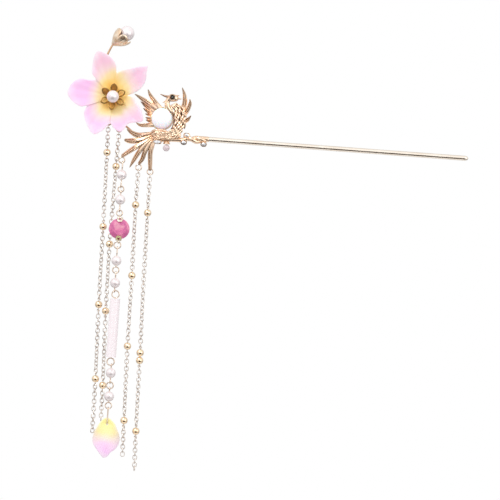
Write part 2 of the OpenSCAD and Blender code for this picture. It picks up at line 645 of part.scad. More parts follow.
module bud_cup() {
    edge = [for (j = [0 : bud_leaves * bud_cuts - 1]) let (a = 360 * j / (bud_leaves * bud_cuts))
        [a, bud_notch + (1 - bud_notch) * pow(abs(cos(bud_leaves * a / 2)), 0.7)]];
    outer = [for (i = [0 : bud_rings]) [for (p = edge)
        let (at = along(bud_profile, p[1] * i / bud_rings), r = at[0] * bud_leaf_r)
        [r * cos(p[0]), r * sin(p[0]), at[1] * bud_leaf_l]]];
    inner = [for (i = [0 : bud_rings]) [for (p = edge)
        let (share = p[1] * i / bud_rings, at = along(bud_profile, share),
            r = at[0] * bud_leaf_r - bud_leaf_t * share)
        [r * cos(p[0]), r * sin(p[0]), at[1] * bud_leaf_l + bud_leaf_t * (1.3 - 1.2 * share)]]];
    color(rose_gold) on_bud() plate(inner, outer);
}

module bud_pearl() {
    color(pearl_white) on_bud() translate([0, 0, bud_pearl_rise]) difference() {
        sphere(d = bud_pearl_d);
        translate([0, 0, -bud_pearl_d]) cylinder(h = bud_pearl_d, d = flower_wire_d + 2 * gap);
    }
}

// Rings, eyes and links

module ring(r, wire) {
    rotate([90, 0, 0]) rotate_extrude() translate([r, 0]) circle(d = wire);
}

// Oval loop that faces -Y, with its end arcs a stretch apart
module oval(r, stretch, wire) {
    if (stretch == 0) ring(r, wire);
    else rotate([90, 0, 0]) {
        for (end = [0, 1]) rotate([0, 0, 180 * end]) translate([0, stretch / 2, 0])
            rotate_extrude(angle = 180) translate([r, 0]) circle(d = wire);
        for (side = [-1, 1]) translate([side * r, -stretch / 2, 0]) rotate([-90, 0, 0])
            cylinder(h = stretch, d = wire);
    }
}

// Distance between the end arcs of two loops that hang in each other
function hang(above, below, wires, room) = above + below - wires - room;

// Centre string

function eye_height(r, stretch) = neck + wire_d / 2 + r + stretch;
function pin_stretch(i) = pearl_d + eye_height(pins[i][0], pins[i][1]) + eye_height(pins[i][2], pins[i][3]);
function pin_piece(i) = [pins[i][0], pin_stretch(i), pins[i][2]];
rod_stretch = rod_l + 2 * gap + wire_d + 2 * rod_eye;
pieces = [[ring_r, 0, ring_r], pin_piece(0), [ring_r, 0, ring_r], pin_piece(1), [ring_r, 0, ring_r],
    [small_eye, 2 * setting_eye_rise, small_eye], [wide_ring_r, 0, wide_ring_r], pin_piece(2), pin_piece(3),
    [rod_eye, rod_stretch, rod_eye], pin_piece(4), [wide_ring_r, 0, wide_ring_r], pin_piece(5),
    [bail_arc, bail_span, bail_arc]];
ring_indexes = [0, 2, 4, 6, 11];
pin_indexes = [1, 3, 7, 8, 10, 12];
stone_index = 5;
rod_index = 9;
bail_index = 13;

// How far the upper end arc of a piece lies below the top ring's middle
function piece_top(i) = i == 0 ? 0 : piece_top(i - 1) + pieces[i - 1][1]
    + hang(pieces[i - 1][2], pieces[i][0], wire_d, gap);
function shift(route, down) = lookup(down, route);
function piece_at(i, down) = [string_top[0] + shift(string_route, piece_top(i) + pieces[i][1] / 2),
    string_depth, string_top[1] - piece_top(i) - down];

module string_ring(i) {
    color(pale_gold) translate(piece_at(ring_indexes[i], 0)) ring(pieces[ring_indexes[i]][0], wire_d);
}

function pearl_at(i) = piece_at(pin_indexes[i], eye_height(pins[i][0], pins[i][1]) + pearl_d / 2);

module pearl(i) {
    color(pearl_white) translate(pearl_at(i)) difference() {
        sphere(d = pearl_d);
        cylinder(h = pearl_d + 1, r = pin_bore_r, center = true);
    }
}

// Eyes that end in a ring stand edge on, and large eyes face the viewer
module pin_eye(r, stretch) {
    rotate([0, 0, r >= large_eye ? 0 : 90]) oval(r, stretch, wire_d);
}

module pearl_pin(i) {
    slot = pin_indexes[i];
    long = pieces[slot][1];
    upper = pins[i][0] + pins[i][1];
    lower = pins[i][2] + pins[i][3];
    color(pale_gold) translate(piece_at(slot, 0)) {
        translate([0, 0, -pins[i][1] / 2]) pin_eye(pins[i][0], pins[i][1]);
        translate([0, 0, pins[i][3] / 2 - long]) pin_eye(pins[i][2], pins[i][3]);
        translate([0, 0, lower - long]) cylinder(h = long - upper - lower, d = wire_d);
    }
}

module crystal_rod() {
    color(clear_glass) translate(piece_at(rod_index, rod_stretch / 2)) difference() {
        cylinder(h = rod_l, d = rod_d, center = true);
        cylinder(h = rod_l + 1, r = pin_bore_r, center = true);
    }
}

module rod_pin() {
    color(pale_gold) translate(piece_at(rod_index, 0)) {
        ring(rod_eye, wire_d);
        translate([0, 0, -rod_stretch]) ring(rod_eye, wire_d);
        translate([0, 0, rod_eye - rod_stretch]) cylinder(h = rod_stretch - 2 * rod_eye, d = wire_d);
    }
}

// Pink stone in its claw setting
stone_at = piece_at(stone_index, setting_eye_rise);

module pink_stone() {
    color("#d4467f") translate(stone_at) cut_stone(stone_r, crown_h, pavilion_h, stone_sides, 1);
}

module stone_setting() {
    crown_slope = atan(crown_h / (stone_r * (1 - table_share)));
    back = pavilion_h + gap;
    color(rose_gold) translate(stone_at) {
        translate([0, back + claw_t, 0]) rotate([90, 0, 0]) difference() {
            cylinder(h = claw_t, r = stone_r - 0.4);
            translate([0, 0, -1]) cylinder(h = claw_t + 2, r = stone_r - 1.6);
        }
        for (side = [0, 180]) rotate([0, side, 0]) {
            translate([-claw_w / 2, back, stone_r - 1.2]) cube([claw_w, claw_t, 1.2 + gap + claw_t]);
            translate([-claw_w / 2, -setting_depth, stone_r + gap])
                cube([claw_w, back + claw_t + setting_depth, claw_t]);
            translate([0, -girdle_share * stone_r - gap, stone_r]) rotate([-crown_slope, 0, 0]) difference() {
                hull() {
                    translate([0, 0, -claw_w * 0.35]) rotate([90, 0, 0]) cylinder(h = claw_t, d = claw_w);
                    translate([-claw_w / 2, -claw_t, gap]) cube([claw_w, claw_t, claw_t]);
                }
                translate([0, 1, -claw_w * 0.3]) rotate([90, 0, 0]) cylinder(h = 3, d = claw_w * 0.4);
            }
            translate([0, 0, setting_eye_rise]) rotate([0, 0, 90]) ring(small_eye, wire_d);
        }
    }
}

// Drop on its wire loop
drop_hole_at = piece_at(bail_index, bail_span + bail_arc);

module drop_bail() {
    color(pale_gold) translate(piece_at(bail_index, bail_span / 2)) rotate([0, 0, 90]) oval(bail_arc, bail_span, wire_d);
}

function drop_depth(x, z) =
    let (down = min(1, max(0, -z / drop_h)), side = x / (drop_half_share * drop_h))
    -drop_bulge * sin(180 * down) * (1 - drop_edge_share * side * side);

module petal_drop() {
    edge = round_edge(drop_edge, drop_cuts);
    front = [for (i = [0 : drop_rings]) [for (p = edge)
        let (r = drop_hole_r + (drop_h * p[1] / 100 - drop_hole_r) * i / drop_rings,
            x = r * cos(p[0]), z = r * sin(p[0]))
        [x, drop_depth(x, z) - drop_t / 2, z]]];
    back = [for (ring = front) [for (p = ring) p + [0, drop_t, 0]]];
    color(petal_pink) translate(drop_hole_at) plate(front, back);
}

// Chains

link_arc = (link_w - link_wire) / 2;
link_stretch = link_l - link_w;
function end_arc(kind) = kind == 0 ? link_arc : bead_eye_r;
function item_stretch(kind) = kind == 0 ? link_stretch
    : kind * bead_d + (kind - 1) * gap + 2 * (bead_neck + link_wire / 2 + bead_eye_r);
// Items of a chain from its top: 0 is a link, 1 or 2 is a pin with so many beads
function items(chain) = [for (s = [0 : len(chain[1]) - 1])
    each concat([for (i = [1 : chain[1][s]]) 0], s < len(chain[2]) ? [chain[2][s]] : [])];
// How far each item's upper end arc lies below the middle of the chain's ring
function item_tops(list) = [for (i = 0, down = hang(ring_r, link_arc, (wire_d + link_wire) / 2, link_gap);
    i < len(list);
    i = i + 1, down = i < len(list) ? down + item_stretch(list[i - 1])
        + hang(end_arc(list[i - 1]), end_arc(list[i]), link_wire, link_gap) : down) down];
function chain_point(chain, down) = chain[0] + [shift(chain[3], down), 0, -down];

module chain_ring(k) {
    color(pale_gold) translate(chains[k][0]) ring(ring_r, wire_d);
}

module bead_pin(count) {
    half = item_stretch(count) / 2;
    for (side = [-1, 1]) translate([0, 0, side * half]) ring(bead_eye_r, link_wire);
    translate([0, 0, bead_eye_r - half]) cylinder(h = 2 * (half - bead_eye_r), d = link_wire);
}

module chain_links(k) {
    list = items(chains[k]);
    tops = item_tops(list);
    color(chain_grey) for (i = [0 : len(list) - 1])
        translate(chain_point(chains[k], tops[i] + item_stretch(list[i]) / 2))
            rotate([0, 0, 90 * (i + 1) + link_twist * i])
                if (list[i] == 0) oval(link_arc, link_stretch, link_wire);
                else bead_pin(list[i]);
}

module chain_tube(k) {
    list = items(chains[k]);
    tops = item_tops(list);
    last = tops[len(list) - 1] + link_stretch + link_arc + link_wire / 2;
    first = ring_r + wire_d / 2 + gap;
    steps = ceil((last - first) / tube_step);
    color(chain_grey) tube([for (i = [0 : steps]) chain_point(chains[k], first + (last - first) * i / steps)],
        chain_tube_d / 2, tube_sides);
}

module gold_beads(k, bore_r) {
    list = items(chains[k]);
    tops = item_tops(list);
    color(rose_gold) for (i = [0 : len(list) - 1]) if (list[i] > 0) for (n = [0 : list[i] - 1])
        translate(chain_point(chains[k], tops[i] + item_stretch(list[i]) / 2)
            + [0, 0, (n - (list[i] - 1) / 2) * (bead_d + gap)])
            difference() {
                sphere(d = bead_d);
                cylinder(h = bead_d + 1, r = bore_r, center = true);
            }
}

hair_stick();
phoenix();
opal();
eye_stone();
for (i = [0 : 3]) branch_stone(i);
cup_bead();
flower_wire();
flower();
flower_pin();
stamen();
stamen_pearl();
bud_cup();
bud_pearl();
for (i = [0 : 4]) string_ring(i);
for (i = [0 : 5]) pearl(i);
for (i = [0 : 5]) pearl_pin(i);
stone_setting();
pink_stone();
crystal_rod();
rod_pin();
drop_bail();
petal_drop();
for (k = [0 : 3]) chain_ring(k);
chain_tube(0);  // chain_a
chain_tube(1);  // chain_b
chain_links(2);  // chain_c
chain_links(3);  // chain_d
gold_beads(0, tube_bore_r);  // gold_beads_a
gold_beads(1, tube_bore_r);  // gold_beads_b
gold_beads(2, bead_bore_r);  // gold_beads_c
gold_beads(3, bead_bore_r);  // gold_beads_d
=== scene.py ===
"""Looks of the buyao hairpin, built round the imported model.

Lengths in the tables are millimetres. The phoenix's points are hundredths of
its height, in rows of [across, up, width, depth], as in the part's source.
"""

import math

import bmesh
import bpy
import numpy as np
from mathutils import Matrix, Vector

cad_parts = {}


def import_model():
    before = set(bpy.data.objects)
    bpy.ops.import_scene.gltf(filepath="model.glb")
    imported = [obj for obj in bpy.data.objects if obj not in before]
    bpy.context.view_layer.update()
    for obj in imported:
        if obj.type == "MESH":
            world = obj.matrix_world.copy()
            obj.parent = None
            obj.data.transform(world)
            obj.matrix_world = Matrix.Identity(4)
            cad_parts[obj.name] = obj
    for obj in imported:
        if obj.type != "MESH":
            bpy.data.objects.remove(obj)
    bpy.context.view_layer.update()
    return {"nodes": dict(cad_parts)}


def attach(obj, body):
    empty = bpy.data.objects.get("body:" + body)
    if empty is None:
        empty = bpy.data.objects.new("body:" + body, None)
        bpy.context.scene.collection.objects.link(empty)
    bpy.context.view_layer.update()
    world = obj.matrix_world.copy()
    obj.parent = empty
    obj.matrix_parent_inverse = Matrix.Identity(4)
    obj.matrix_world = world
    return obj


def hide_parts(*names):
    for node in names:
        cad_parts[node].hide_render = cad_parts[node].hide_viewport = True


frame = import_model()

MM = 0.001
BODY = "hairpin"
DROP = "petal_drop"

# Curves


def bend(a, b, c, d, u):
    """Point on the smooth curve between b and c."""
    return 0.5 * (2 * b + (c - a) * u + (2 * a - 5 * b + 4 * c - d) * u * u
                  + (3 * b - a - 3 * c + d) * u ** 3)


def along(rows, share):
    """Point on the smooth curve through rows, from share 0 to share 1."""
    pts = np.asarray(rows, float)
    last = len(pts) - 1
    i = min(int(share * last), last - 1)
    before = pts[i - 1] if i > 0 else 2 * pts[0] - pts[1]
    after = pts[i + 2] if i < last - 1 else 2 * pts[last] - pts[last - 1]
    return bend(before, pts[i], pts[i + 1], after, share * last - i)


def smooth(rows, steps):
    """Points of the smooth curve through rows, so many steps to a row."""
    count = (len(rows) - 1) * steps
    return [along(rows, i / count) for i in range(count + 1)]


def round_edge(rows, cuts):
    """Closed smooth curve through rows of [angle, reach]."""
    n = len(rows)
    pts = np.asarray(rows, float)
    once = np.array([360.0, 0.0])
    full = np.vstack([pts[-1] - once, pts, pts[0] + once, pts[1] + once])
    return [bend(*full[i:i + 4], s / cuts) for i in range(n) for s in range(cuts)]


def unit(v):
    return v / np.linalg.norm(v)


def headings(pts):
    """Direction of a path at each of its points."""
    last = len(pts) - 1
    return [unit(pts[min(i + 1, last)] - pts[max(i - 1, 0)]) for i in range(last + 1)]


def around(count):
    """Angles in radians, evenly round a full turn."""
    return np.linspace(0, 2 * math.pi, count, endpoint=False)


def polar(r, degrees):
    """Both coordinates of a point at a distance and an angle."""
    return r * math.cos(math.radians(degrees)), r * math.sin(math.radians(degrees))


# Shapes


class Shape:
    """Points in millimetres, faces between them and each face's tone, the number of its material."""

    def __init__(self, points=(), faces=(), tones=()):
        self.points = [np.asarray(p, float) for p in points]
        self.faces = [list(f) for f in faces]
        self.tones = list(tones) or [0] * len(self.faces)

    def add(self, other, matrix=None):
        base = len(self.points)
        if matrix is None:
            self.points += other.points
        else:
            self.points += [np.array(matrix @ Vector(p)) for p in other.points]
        self.faces += [[base + i for i in f] for f in other.faces]
        self.tones += other.tones
        return self

    def toned(self, tone):
        return Shape(self.points, self.faces, [tone] * len(self.faces))

    def moved(self, matrix):
        return Shape().add(self, matrix)


def move(x, y, z):
    return Matrix.Translation((x, y, z))


def turn(degrees, axis):
    return Matrix.Rotation(math.radians(degrees), 4, axis)


def skin(rings, loop=False, dark=(), dark_from=0):
    """Closed skin over rings of equal point count; dark columns have the second tone from a row on."""
    n, sides = len(rings), len(rings[0])
    faces, tones = [], []
    for i in range(n if loop else n - 1):
        a, b = i * sides, ((i + 1) % n) * sides
        for j in range(sides):
            k = (j + 1) % sides
            faces.append([a + j, a + k, b + k, b + j])
            tones.append(int(j in dark and i >= dark_from))
    if not loop:
        faces += [list(range(sides))[::-1], [(n - 1) * sides + j for j in range(sides)]]
        tones += [0, 0]
    return Shape([p for ring in rings for p in ring], faces, tones)


# Direction that no tube here runs along, for its first point to be set beside it
ANY_SIDE = (0.13, 0.97, 0.21)


def tube(pts, radius, sides=12, loop=False):
    """Round tube along a path, with one radius or one for each point."""
    pts = [np.asarray(p, float) for p in pts]
    n = len(pts)
    radii = [radius] * n if np.isscalar(radius) else list(radius)
    if loop:
        ways = [unit(pts[(i + 1) % n] - pts[i - 1]) for i in range(n)]
    else:
        ways = headings(pts)
    side = np.array(ANY_SIDE)
    rings = []
    for p, r, way in zip(pts, radii, ways):
        side = unit(side - side.dot(way) * way)
        up = np.cross(way, side)
        rings.append([p + r * (math.cos(a) * side + math.sin(a) * up)
                      for a in around(sides)])
    return skin(rings, loop=loop)


# Round ends and balls stop just short of a quarter turn, where a ring would shrink to a point
END_ANGLE = math.radians(88)
BALL_END = 1.54


def limb(rows, steps=6, sides=20, caps=4):
    """Smooth round-ended limb through rows of [across, up, radius, depth]."""
    at = smooth(rows, steps)
    pts = [np.array([r[0], r[3], r[1]]) * ONE for r in at]
    radii = [r[2] * ONE for r in at]
    ways = headings(pts)
    first, last = [], []
    for k in range(1, caps + 1):
        a = END_ANGLE * k / caps
        first.insert(0, (pts[0] - ways[0] * radii[0] * math.sin(a), radii[0] * math.cos(a)))
        last.append((pts[-1] + ways[-1] * radii[-1] * math.sin(a), radii[-1] * math.cos(a)))
    path = first + list(zip(pts, radii)) + last
    return tube([p for p, _ in path], [r for _, r in path], sides)


def lathe(profile, sides=48):
    """Skin turned round Z from rows of [radius, height]."""
    return skin([[(r * math.cos(a), r * math.sin(a), z) for a in around(sides)] for r, z in profile])


def ball(r, sides=16):
    """Ball round the origin."""
    angles = np.linspace(-BALL_END, BALL_END, sides // 2 + 1)
    return lathe([(r * math.cos(a), r * math.sin(a)) for a in angles], sides)


def oval(r, span, wire, sides=8, steps=10):
    """Wire loop in the XZ plane whose end arcs lie a span apart."""
    pts = []
    for end, centre in ((0, span / 2), (180, -span / 2)):
        for i in range(steps + 1):
            x, z = polar(r, end + 180 * i / steps)
            pts.append((x, 0, centre + z))
    if span == 0:
        pts = pts[:steps] + pts[steps + 1:-1]
    return tube(pts, wire / 2, sides, loop=True)


def hull(balls, sides=18):
    """Convex skin over balls: rows of [x, y, z, radius]."""
    bm = bmesh.new()
    for x, y, z, r in balls:
        for p in ball(r, sides).points:
            bm.verts.new(Vector(p) + Vector((x, y, z)))
    bmesh.ops.convex_hull(bm, input=bm.verts)
    bmesh.ops.delete(bm, geom=[v for v in bm.verts if not v.link_faces], context="VERTS")
    bm.verts.index_update()
    shape = Shape([v.co for v in bm.verts], [[v.index for v in f.verts] for f in bm.faces])
    bm.free()
    return shape


def blob(rows):
    """Convex skin over balls: rows of [across, up, radius, depth]."""
    return hull([[x * ONE, y * ONE, z * ONE, r * ONE] for x, z, r, y in rows])


def to_mesh(name, shape):
    """Mesh in metres."""
    mesh = bpy.data.meshes.new(name)
    mesh.from_pydata([tuple(p * MM) for p in shape.points], [], shape.faces)
    mesh.polygons.foreach_set("material_index", shape.tones)
    mesh.validate()
    mesh.update()
    return mesh


def place(name, data):
    o = bpy.data.objects.new(name, data)
    bpy.context.collection.objects.link(o)
    return o


def carve(shape, cutter):
    """Shape less the cutter, cut at a millimetre to the metre so that the solver's limits suit it."""
    objs = []
    for name, s in (("carve_a", shape), ("carve_b", cutter)):
        o = place(name, to_mesh(name, Shape([p / MM for p in s.points], s.faces, s.tones)))
        for tone in (cast_gold, shade_gold):
            o.data.materials.append(tone)
        objs.append(o)
    cut = objs[0].modifiers.new("cut", "BOOLEAN")
    cut.object = objs[1]
    cut.operation = "DIFFERENCE"
    cut.solver = "EXACT"
    done = objs[0].evaluated_get(bpy.context.evaluated_depsgraph_get())
    mesh = done.to_mesh()
    out = Shape([v.co for v in mesh.vertices], [list(p.vertices) for p in mesh.polygons],
                [p.material_index for p in mesh.polygons])
    done.to_mesh_clear()
    for o in objs:
        bpy.data.objects.remove(o)
    return out


def piece(name, shape, materials, nodes, body=BODY, sharp=38):
    """Puts a shape in the scene as a piece that stands for CAD nodes, edges sharp past some degrees."""
    mesh = to_mesh(name, shape)
    bm = bmesh.new()
    bm.from_mesh(mesh)
    bmesh.ops.recalc_face_normals(bm, faces=bm.faces)
    bm.to_mesh(mesh)
    bm.free()
    mesh.shade_smooth()
    mesh.set_sharp_from_angle(angle=math.radians(sharp))
    for material in materials:
        mesh.materials.append(material)
    o = place(name, mesh)
    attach(o, body)
    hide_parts(*nodes)
    return o


# Materials


class Nodes:
    """Adds nodes to a tree. Values go in as outputs of other nodes, numbers or tuples."""

    def __init__(self, tree):
        self.tree = tree

    def node(self, kind, **values):
        n = self.tree.nodes.new(kind)
        for key, value in values.items():
            setattr(n, key, value)
        return n

    def put(self, value, socket):
        if isinstance(value, bpy.types.NodeSocket):
            self.tree.links.new(value, socket)
        else:
            socket.default_value = value

    def fill(self, n, **sockets):
        """Puts values in a node's sockets, whose names have _ for a space."""
        for key, value in sockets.items():
            self.put(value, n.inputs[key.replace("_", " ")])
        return n

    def ramp(self, value, *stops):
        n = self.node("ShaderNodeValToRGB")
        while len(n.color_ramp.elements) < len(stops):
            n.color_ramp.elements.new(0.5)
        for element, (at, colour) in zip(n.color_ramp.elements, stops):
            element.position = at
            element.color = (*colour, 1)
        return self.fill(n, Fac=value).outputs["Color"]

    def grey_ramp(self, value, *stops):
        return self.ramp(value, *[(at, (level, level, level)) for at, level in stops])

    def fit(self, value, low, high, to_low=0, to_high=1, **values):
        n = self.node("ShaderNodeMapRange", **values)
        self.fill(n, Value=value, From_Min=low, From_Max=high, To_Min=to_low, To_Max=to_high)
        return n.outputs["Result"]

    def math(self, kind, a, b):
        n = self.node("ShaderNodeMath", operation=kind)
        self.put(a, n.inputs[0])
        self.put(b, n.inputs[1])
        return n.outputs[0]

    def mix(self, fac, a, b, kind="MIX"):
        n = self.node("ShaderNodeMix", data_type="RGBA", blend_type=kind)
        self.put(fac, n.inputs[0])
        for i, v in ((6, a), (7, b)):
            self.put((*v, 1) if isinstance(v, tuple) else v, n.inputs[i])
        return n.outputs[2]

    def vector(self, kind, a, b=None):
        """Vector maths, whose lengths and dot products come out as numbers."""
        n = self.node("ShaderNodeVectorMath", operation=kind)
        self.put(a, n.inputs[0])
        if b is not None:
            self.put(b, n.inputs["Scale" if kind == "SCALE" else 1])
        return n.outputs["Value" if kind in ("LENGTH", "DOT_PRODUCT") else "Vector"]

    def axes(self, vector):
        return self.fill(self.node("ShaderNodeSeparateXYZ"), Vector=vector).outputs


class Look(Nodes):
    """A node material round one Principled shader."""

    def __init__(self, name, **sockets):
        self.material = bpy.data.materials.new(name)
        self.material.use_nodes = True
        super().__init__(self.material.node_tree)
        self.shader = self.tree.nodes["Principled BSDF"]
        self.fill(self.shader, **sockets)
        self.coords = self.node("ShaderNodeTexCoord").outputs["Object"]

    def noise(self, size, detail=3, distortion=0.0):
        """Noise whose features are about so many millimetres across."""
        n = self.node("ShaderNodeTexNoise")
        self.fill(n, Vector=self.coords, Scale=1 / (size * MM), Detail=detail, Distortion=distortion)
        return n.outputs["Fac"]

    def drift(self, value, size, reach):
        """The value, drifting by about so much either way."""
        return self.math("ADD", value, self.fit(self.noise(size, 2), 0.3, 0.7, -reach, reach))

    def rise(self, low, high):
        """0 at one height and 1 at another, in millimetres."""
        return self.fit(self.axes(self.coords)["Z"], low * MM, high * MM)

    def hollows(self, size):
        """1 in the open, lower in hollows of about so many millimetres."""
        n = self.node("ShaderNodeAmbientOcclusion", samples=8)
        return self.fill(n, Distance=size * MM).outputs["AO"]

    def colour(self, value):
        self.fill(self.shader, Base_Color=value)

    def glow(self, value, strength):
        """Colour that also lights itself a little: painted light that stands in for the light a translucent
        thing lets through.
        """
        self.fill(self.shader, Base_Color=value, Emission_Color=value, Emission_Strength=strength)

    def rough(self, value):
        self.fill(self.shader, Roughness=value)

    def bump(self, height, depth, strength):
        n = self.fill(self.node("ShaderNodeBump"), Height=height, Distance=depth * MM, Strength=strength)
        self.fill(self.shader, Normal=n.outputs["Normal"])


# Dark brown painted into hollows as shade, where ambient occlusion finds them
HOLLOW_SHADE = (0.36, 0.20, 0.12)


def metal(name, light, deep, roughness, grain=0.5, depth=0.01, hollow=None):
    """Plated metal with bumps of a grain and a depth in mm; hollows up to a size may get painted shade, a
    dark brown mixed in by ambient occlusion.
    """
    look = Look(name, Metallic=1.0)
    tone = look.ramp(look.noise(grain * 4, 2), (0.3, deep), (0.65, light))
    if hollow:
        open_air = look.fit(look.hollows(hollow), 0.05, 0.5)
        # Painted shade: hollows turn dark brown
        tone = look.mix(open_air, HOLLOW_SHADE, tone)
    look.colour(tone)
    look.rough(look.fit(look.noise(grain * 1.5), 0.3, 0.7, roughness * 0.75, roughness * 1.3))
    look.bump(look.noise(grain, 4), depth, 0.6)
    return look.material


# Metals given a size for hollows get painted shade in them
cast_gold = metal("cast_rose_gold", (0.98, 0.77, 0.58), (0.90, 0.63, 0.44), 0.26, 0.4, 0.012, hollow=0.35)
# Darker rose gold used as painted shade: in the feathers' grooves, on the bands behind the right wing, on the
# body under the strands and on the top of the beak
shade_gold = metal("shaded_rose_gold", (0.54, 0.35, 0.24), (0.34, 0.20, 0.13), 0.34, 0.3, 0.02)
wire_gold = metal("rose_gold_wire", (0.80, 0.52, 0.33), (0.62, 0.38, 0.24), 0.18, hollow=0.5)
stick_gold = metal("pale_gold_stick", (0.98, 0.90, 0.80), (0.88, 0.77, 0.65), 0.24, 2.0, 0.004)
ring_gold = metal("pale_gold_rings", (0.88, 0.74, 0.62), (0.72, 0.56, 0.44), 0.16, 0.5, 0.006)
chain_gold = metal("chain_metal", (0.84, 0.77, 0.71), (0.66, 0.58, 0.52), 0.18, 0.4, 0.006)
bead_gold = metal("gold_beads", (1.0, 0.82, 0.60), (0.95, 0.72, 0.48), 0.07, 0.8, 0.003)
leaf_gold = metal("leaf_gold", (1.0, 0.86, 0.70), (0.84, 0.56, 0.36), 0.3, 0.35, 0.06, hollow=0.8)
antique_gold = metal("antique_gold", (0.52, 0.32, 0.10), (0.30, 0.17, 0.05), 0.28, 0.4, 0.02, hollow=0.6)
cream_gold = metal("cream_gold", (0.96, 0.88, 0.76), (0.86, 0.72, 0.57), 0.25, hollow=0.4)
# Darker olive copy of the claws' gold, for the lower claw: painted shade
shaded_claw_gold = metal("shaded_claw_gold", (0.72, 0.66, 0.38), (0.55, 0.48, 0.26), 0.25, hollow=0.4)
# Brown and amber sheets closing some of the stamen's loops: painted shade
loop_shade_brown = metal("brown_loop_shade", (0.55, 0.29, 0.07), (0.38, 0.18, 0.05), 0.4, 0.4, 0.02)
loop_shade_amber = metal("amber_loop_shade", (0.85, 0.48, 0.12), (0.62, 0.32, 0.08), 0.4, 0.4, 0.02)


def pearl_look():
    look = Look("pearl", Metallic=0.35, Coat_Weight=0.5, Coat_Roughness=0.06)
    look.colour(look.ramp(look.noise(1.6, 2), (0.35, (0.87, 0.77, 0.78)), (0.6, (0.96, 0.89, 0.90))))
    look.rough(look.fit(look.noise(0.8, 2), 0.3, 0.7, 0.18, 0.28))
    look.bump(look.noise(0.5), 0.003, 0.5)
    return look.material


def stone_look(name, size, deep, light, grain, depth, strength, **sockets):
    """Small stone: patches of a size in mm in two tones, and bumps of a grain and a depth in mm."""
    look = Look(name, **sockets)
    look.colour(look.ramp(look.noise(size, 2), deep, light))
    look.bump(look.noise(grain, 2), depth, strength)
    return look.material


# Phoenix

BIRD = 20.0
ONE = BIRD / 100
GAP = 0.1
LINK_GAP = 0.12
RING_R = 1.15
WIRE = 0.5

# Feathers: thickness, share of it that a narrow one has, and width from which it is full
FEATHER, NARROW, BROAD = 1.4, 0.55, 6
# Two grooves beside a middle ridge: depth, place and half width as shares of thickness and half width
GROOVE, GROOVE_AT, GROOVE_W = 0.26, 0.36, 0.12
# How far the front falls from the ridge to the edge, along a slope and in a curve
ROOF, EDGE_FALL = 0.35, 0.14
# Share of the length that is smooth at the root, of most feathers and of each tail feather
SMOOTH_ROOT = 0.12
TAIL_SMOOTH = [0.35, 0.5, 0.45, 0.42, 0.42, 0.3]
# A groove's least share of its depth, and how far past the smooth root it's full and gets painted shade
FAINT, FULL_PAST, DARK_PAST = 0.15, 0.2, 0.08
BACK_WIDE = 0.96
BAND_BACK = 2.5

left_wing = [
    [[-102, 53, 12, -3], [-115, 69, 9, -3], [-124, 81, 6.5, -1], [-129, 91, 2, 2]],
    [[-109, 53, 12, -3], [-129, 65, 10, -2], [-143, 73.5, 7, 0], [-155, 80, 1.5, 2]],
    [[-115, 48, 9, -2], [-129, 56, 8, 0], [-142, 66, 1.5, 2]],
    [[-117, 43, 7, -1], [-127, 47, 6, 0], [-136, 53, 1.5, 1]],
    [[-115, 38, 6, -4], [-124, 40, 5, -3], [-131, 42, 1.5, -1]],
    [[-115, 32, 6, -4], [-124, 33, 5, -3], [-130, 35, 1.5, -1]],
    [[-115, 26, 6, -4], [-123, 28, 5, -3], [-129, 30, 1.5, -1]],
    [[-113, 21, 9, -2], [-128, 19, 8, -3], [-139, 18.5, 6, -5], [-148, 23, 1.5, -7]]]
right_wing = [
    [[-60, 48, 10, 0], [-54, 67, 10, 0], [-55, 84, 7.5, -2], [-61, 100, 1.5, -4]],
    [[-58, 42, 10, 0], [-48, 54, 9, 0], [-43, 68, 7, -2], [-44, 78, 1.5, -4]],
    [[-60, 33, 10, 0], [-47, 35, 8.5, -1], [-39, 45, 1.5, -3]],
    [[-61, 34, 9, 0], [-52, 27, 7.5, -1], [-50, 17, 1.5, -3]]]
right_bands = [
    [[-73, 65, 4, -2], [-62, 57, 8, -4], [-56, 45, 9, -5], [-56, 30, 8, -4], [-60, 16, 5, -3],
     [-62, 7, 1.5, -1]],
    [[-80, 62, 3, -4], [-69, 54, 8, -6], [-63, 38, 9, -7], [-63, 22, 8, -6], [-68, 7, 3, -4]],
    [[-85, 57, 3, -5], [-76, 49, 7, -8], [-70, 36, 8, -9], [-72, 20, 7, -8], [-80, 8, 4, -6]]]
tail = [
    [[-110, 7, 3, 0], [-125, 1, 9, -0.5], [-142, -2, 11, 0], [-156, 3, 8, -1], [-165, 9, 3, -2]],
    [[-112, 2, 3, 0], [-127, -7, 9, -0.5], [-143, -12.5, 11, 0], [-158, -14.5, 10, -1], [-169, -13, 5, -3]],
    [[-112, -2, 3, 0], [-127, -14, 9, -0.5], [-143, -25, 10, -2], [-158, -36, 9, -5], [-172, -47, 7, -7.5]],
    [[-111, -5, 3, 0], [-124, -17, 8, -0.5], [-137, -34, 9, 0], [-146.5, -51, 8, 0], [-154.5, -68, 1.5, -1]],
    [[-109, -7, 3, 0], [-118, -18, 8, -0.5], [-126, -34, 9, 1], [-130, -48, 8.5, 3], [-137, -60, 6, 5]],
    [[-108, -3, 5, 0], [-112, -18, 9, 0], [-115, -36, 9.5, 1], [-114, -54, 9, 4], [-113, -71.5, 7, 5]]]
body_line = [[-109, 4, 7, 0], [-97, 2, 8, -1], [-80, 2.5, 8, -1], [-65, 4, 7, 0]]
hubs = [[[-109, 2, 3, 1.5], [-112, -14, 3, 1.5], [-134, -4, 2.6, 1.5]],
        [[-134, -4, 2.6, 1.3], [-138, -14, 2.6, 1.3], [-112, -14, 3, 1.3]],
        [[-138, -14, 2.6, 1.1], [-126, -24, 2.6, 1.1], [-112, -14, 3, 1.1]]]
neck_line = [[-80, 50, 6, -3], [-87, 59, 5.5, -4], [-88.5, 68, 5, -4], [-85, 75, 5.5, -4], [-78, 77.5, 8, -4]]
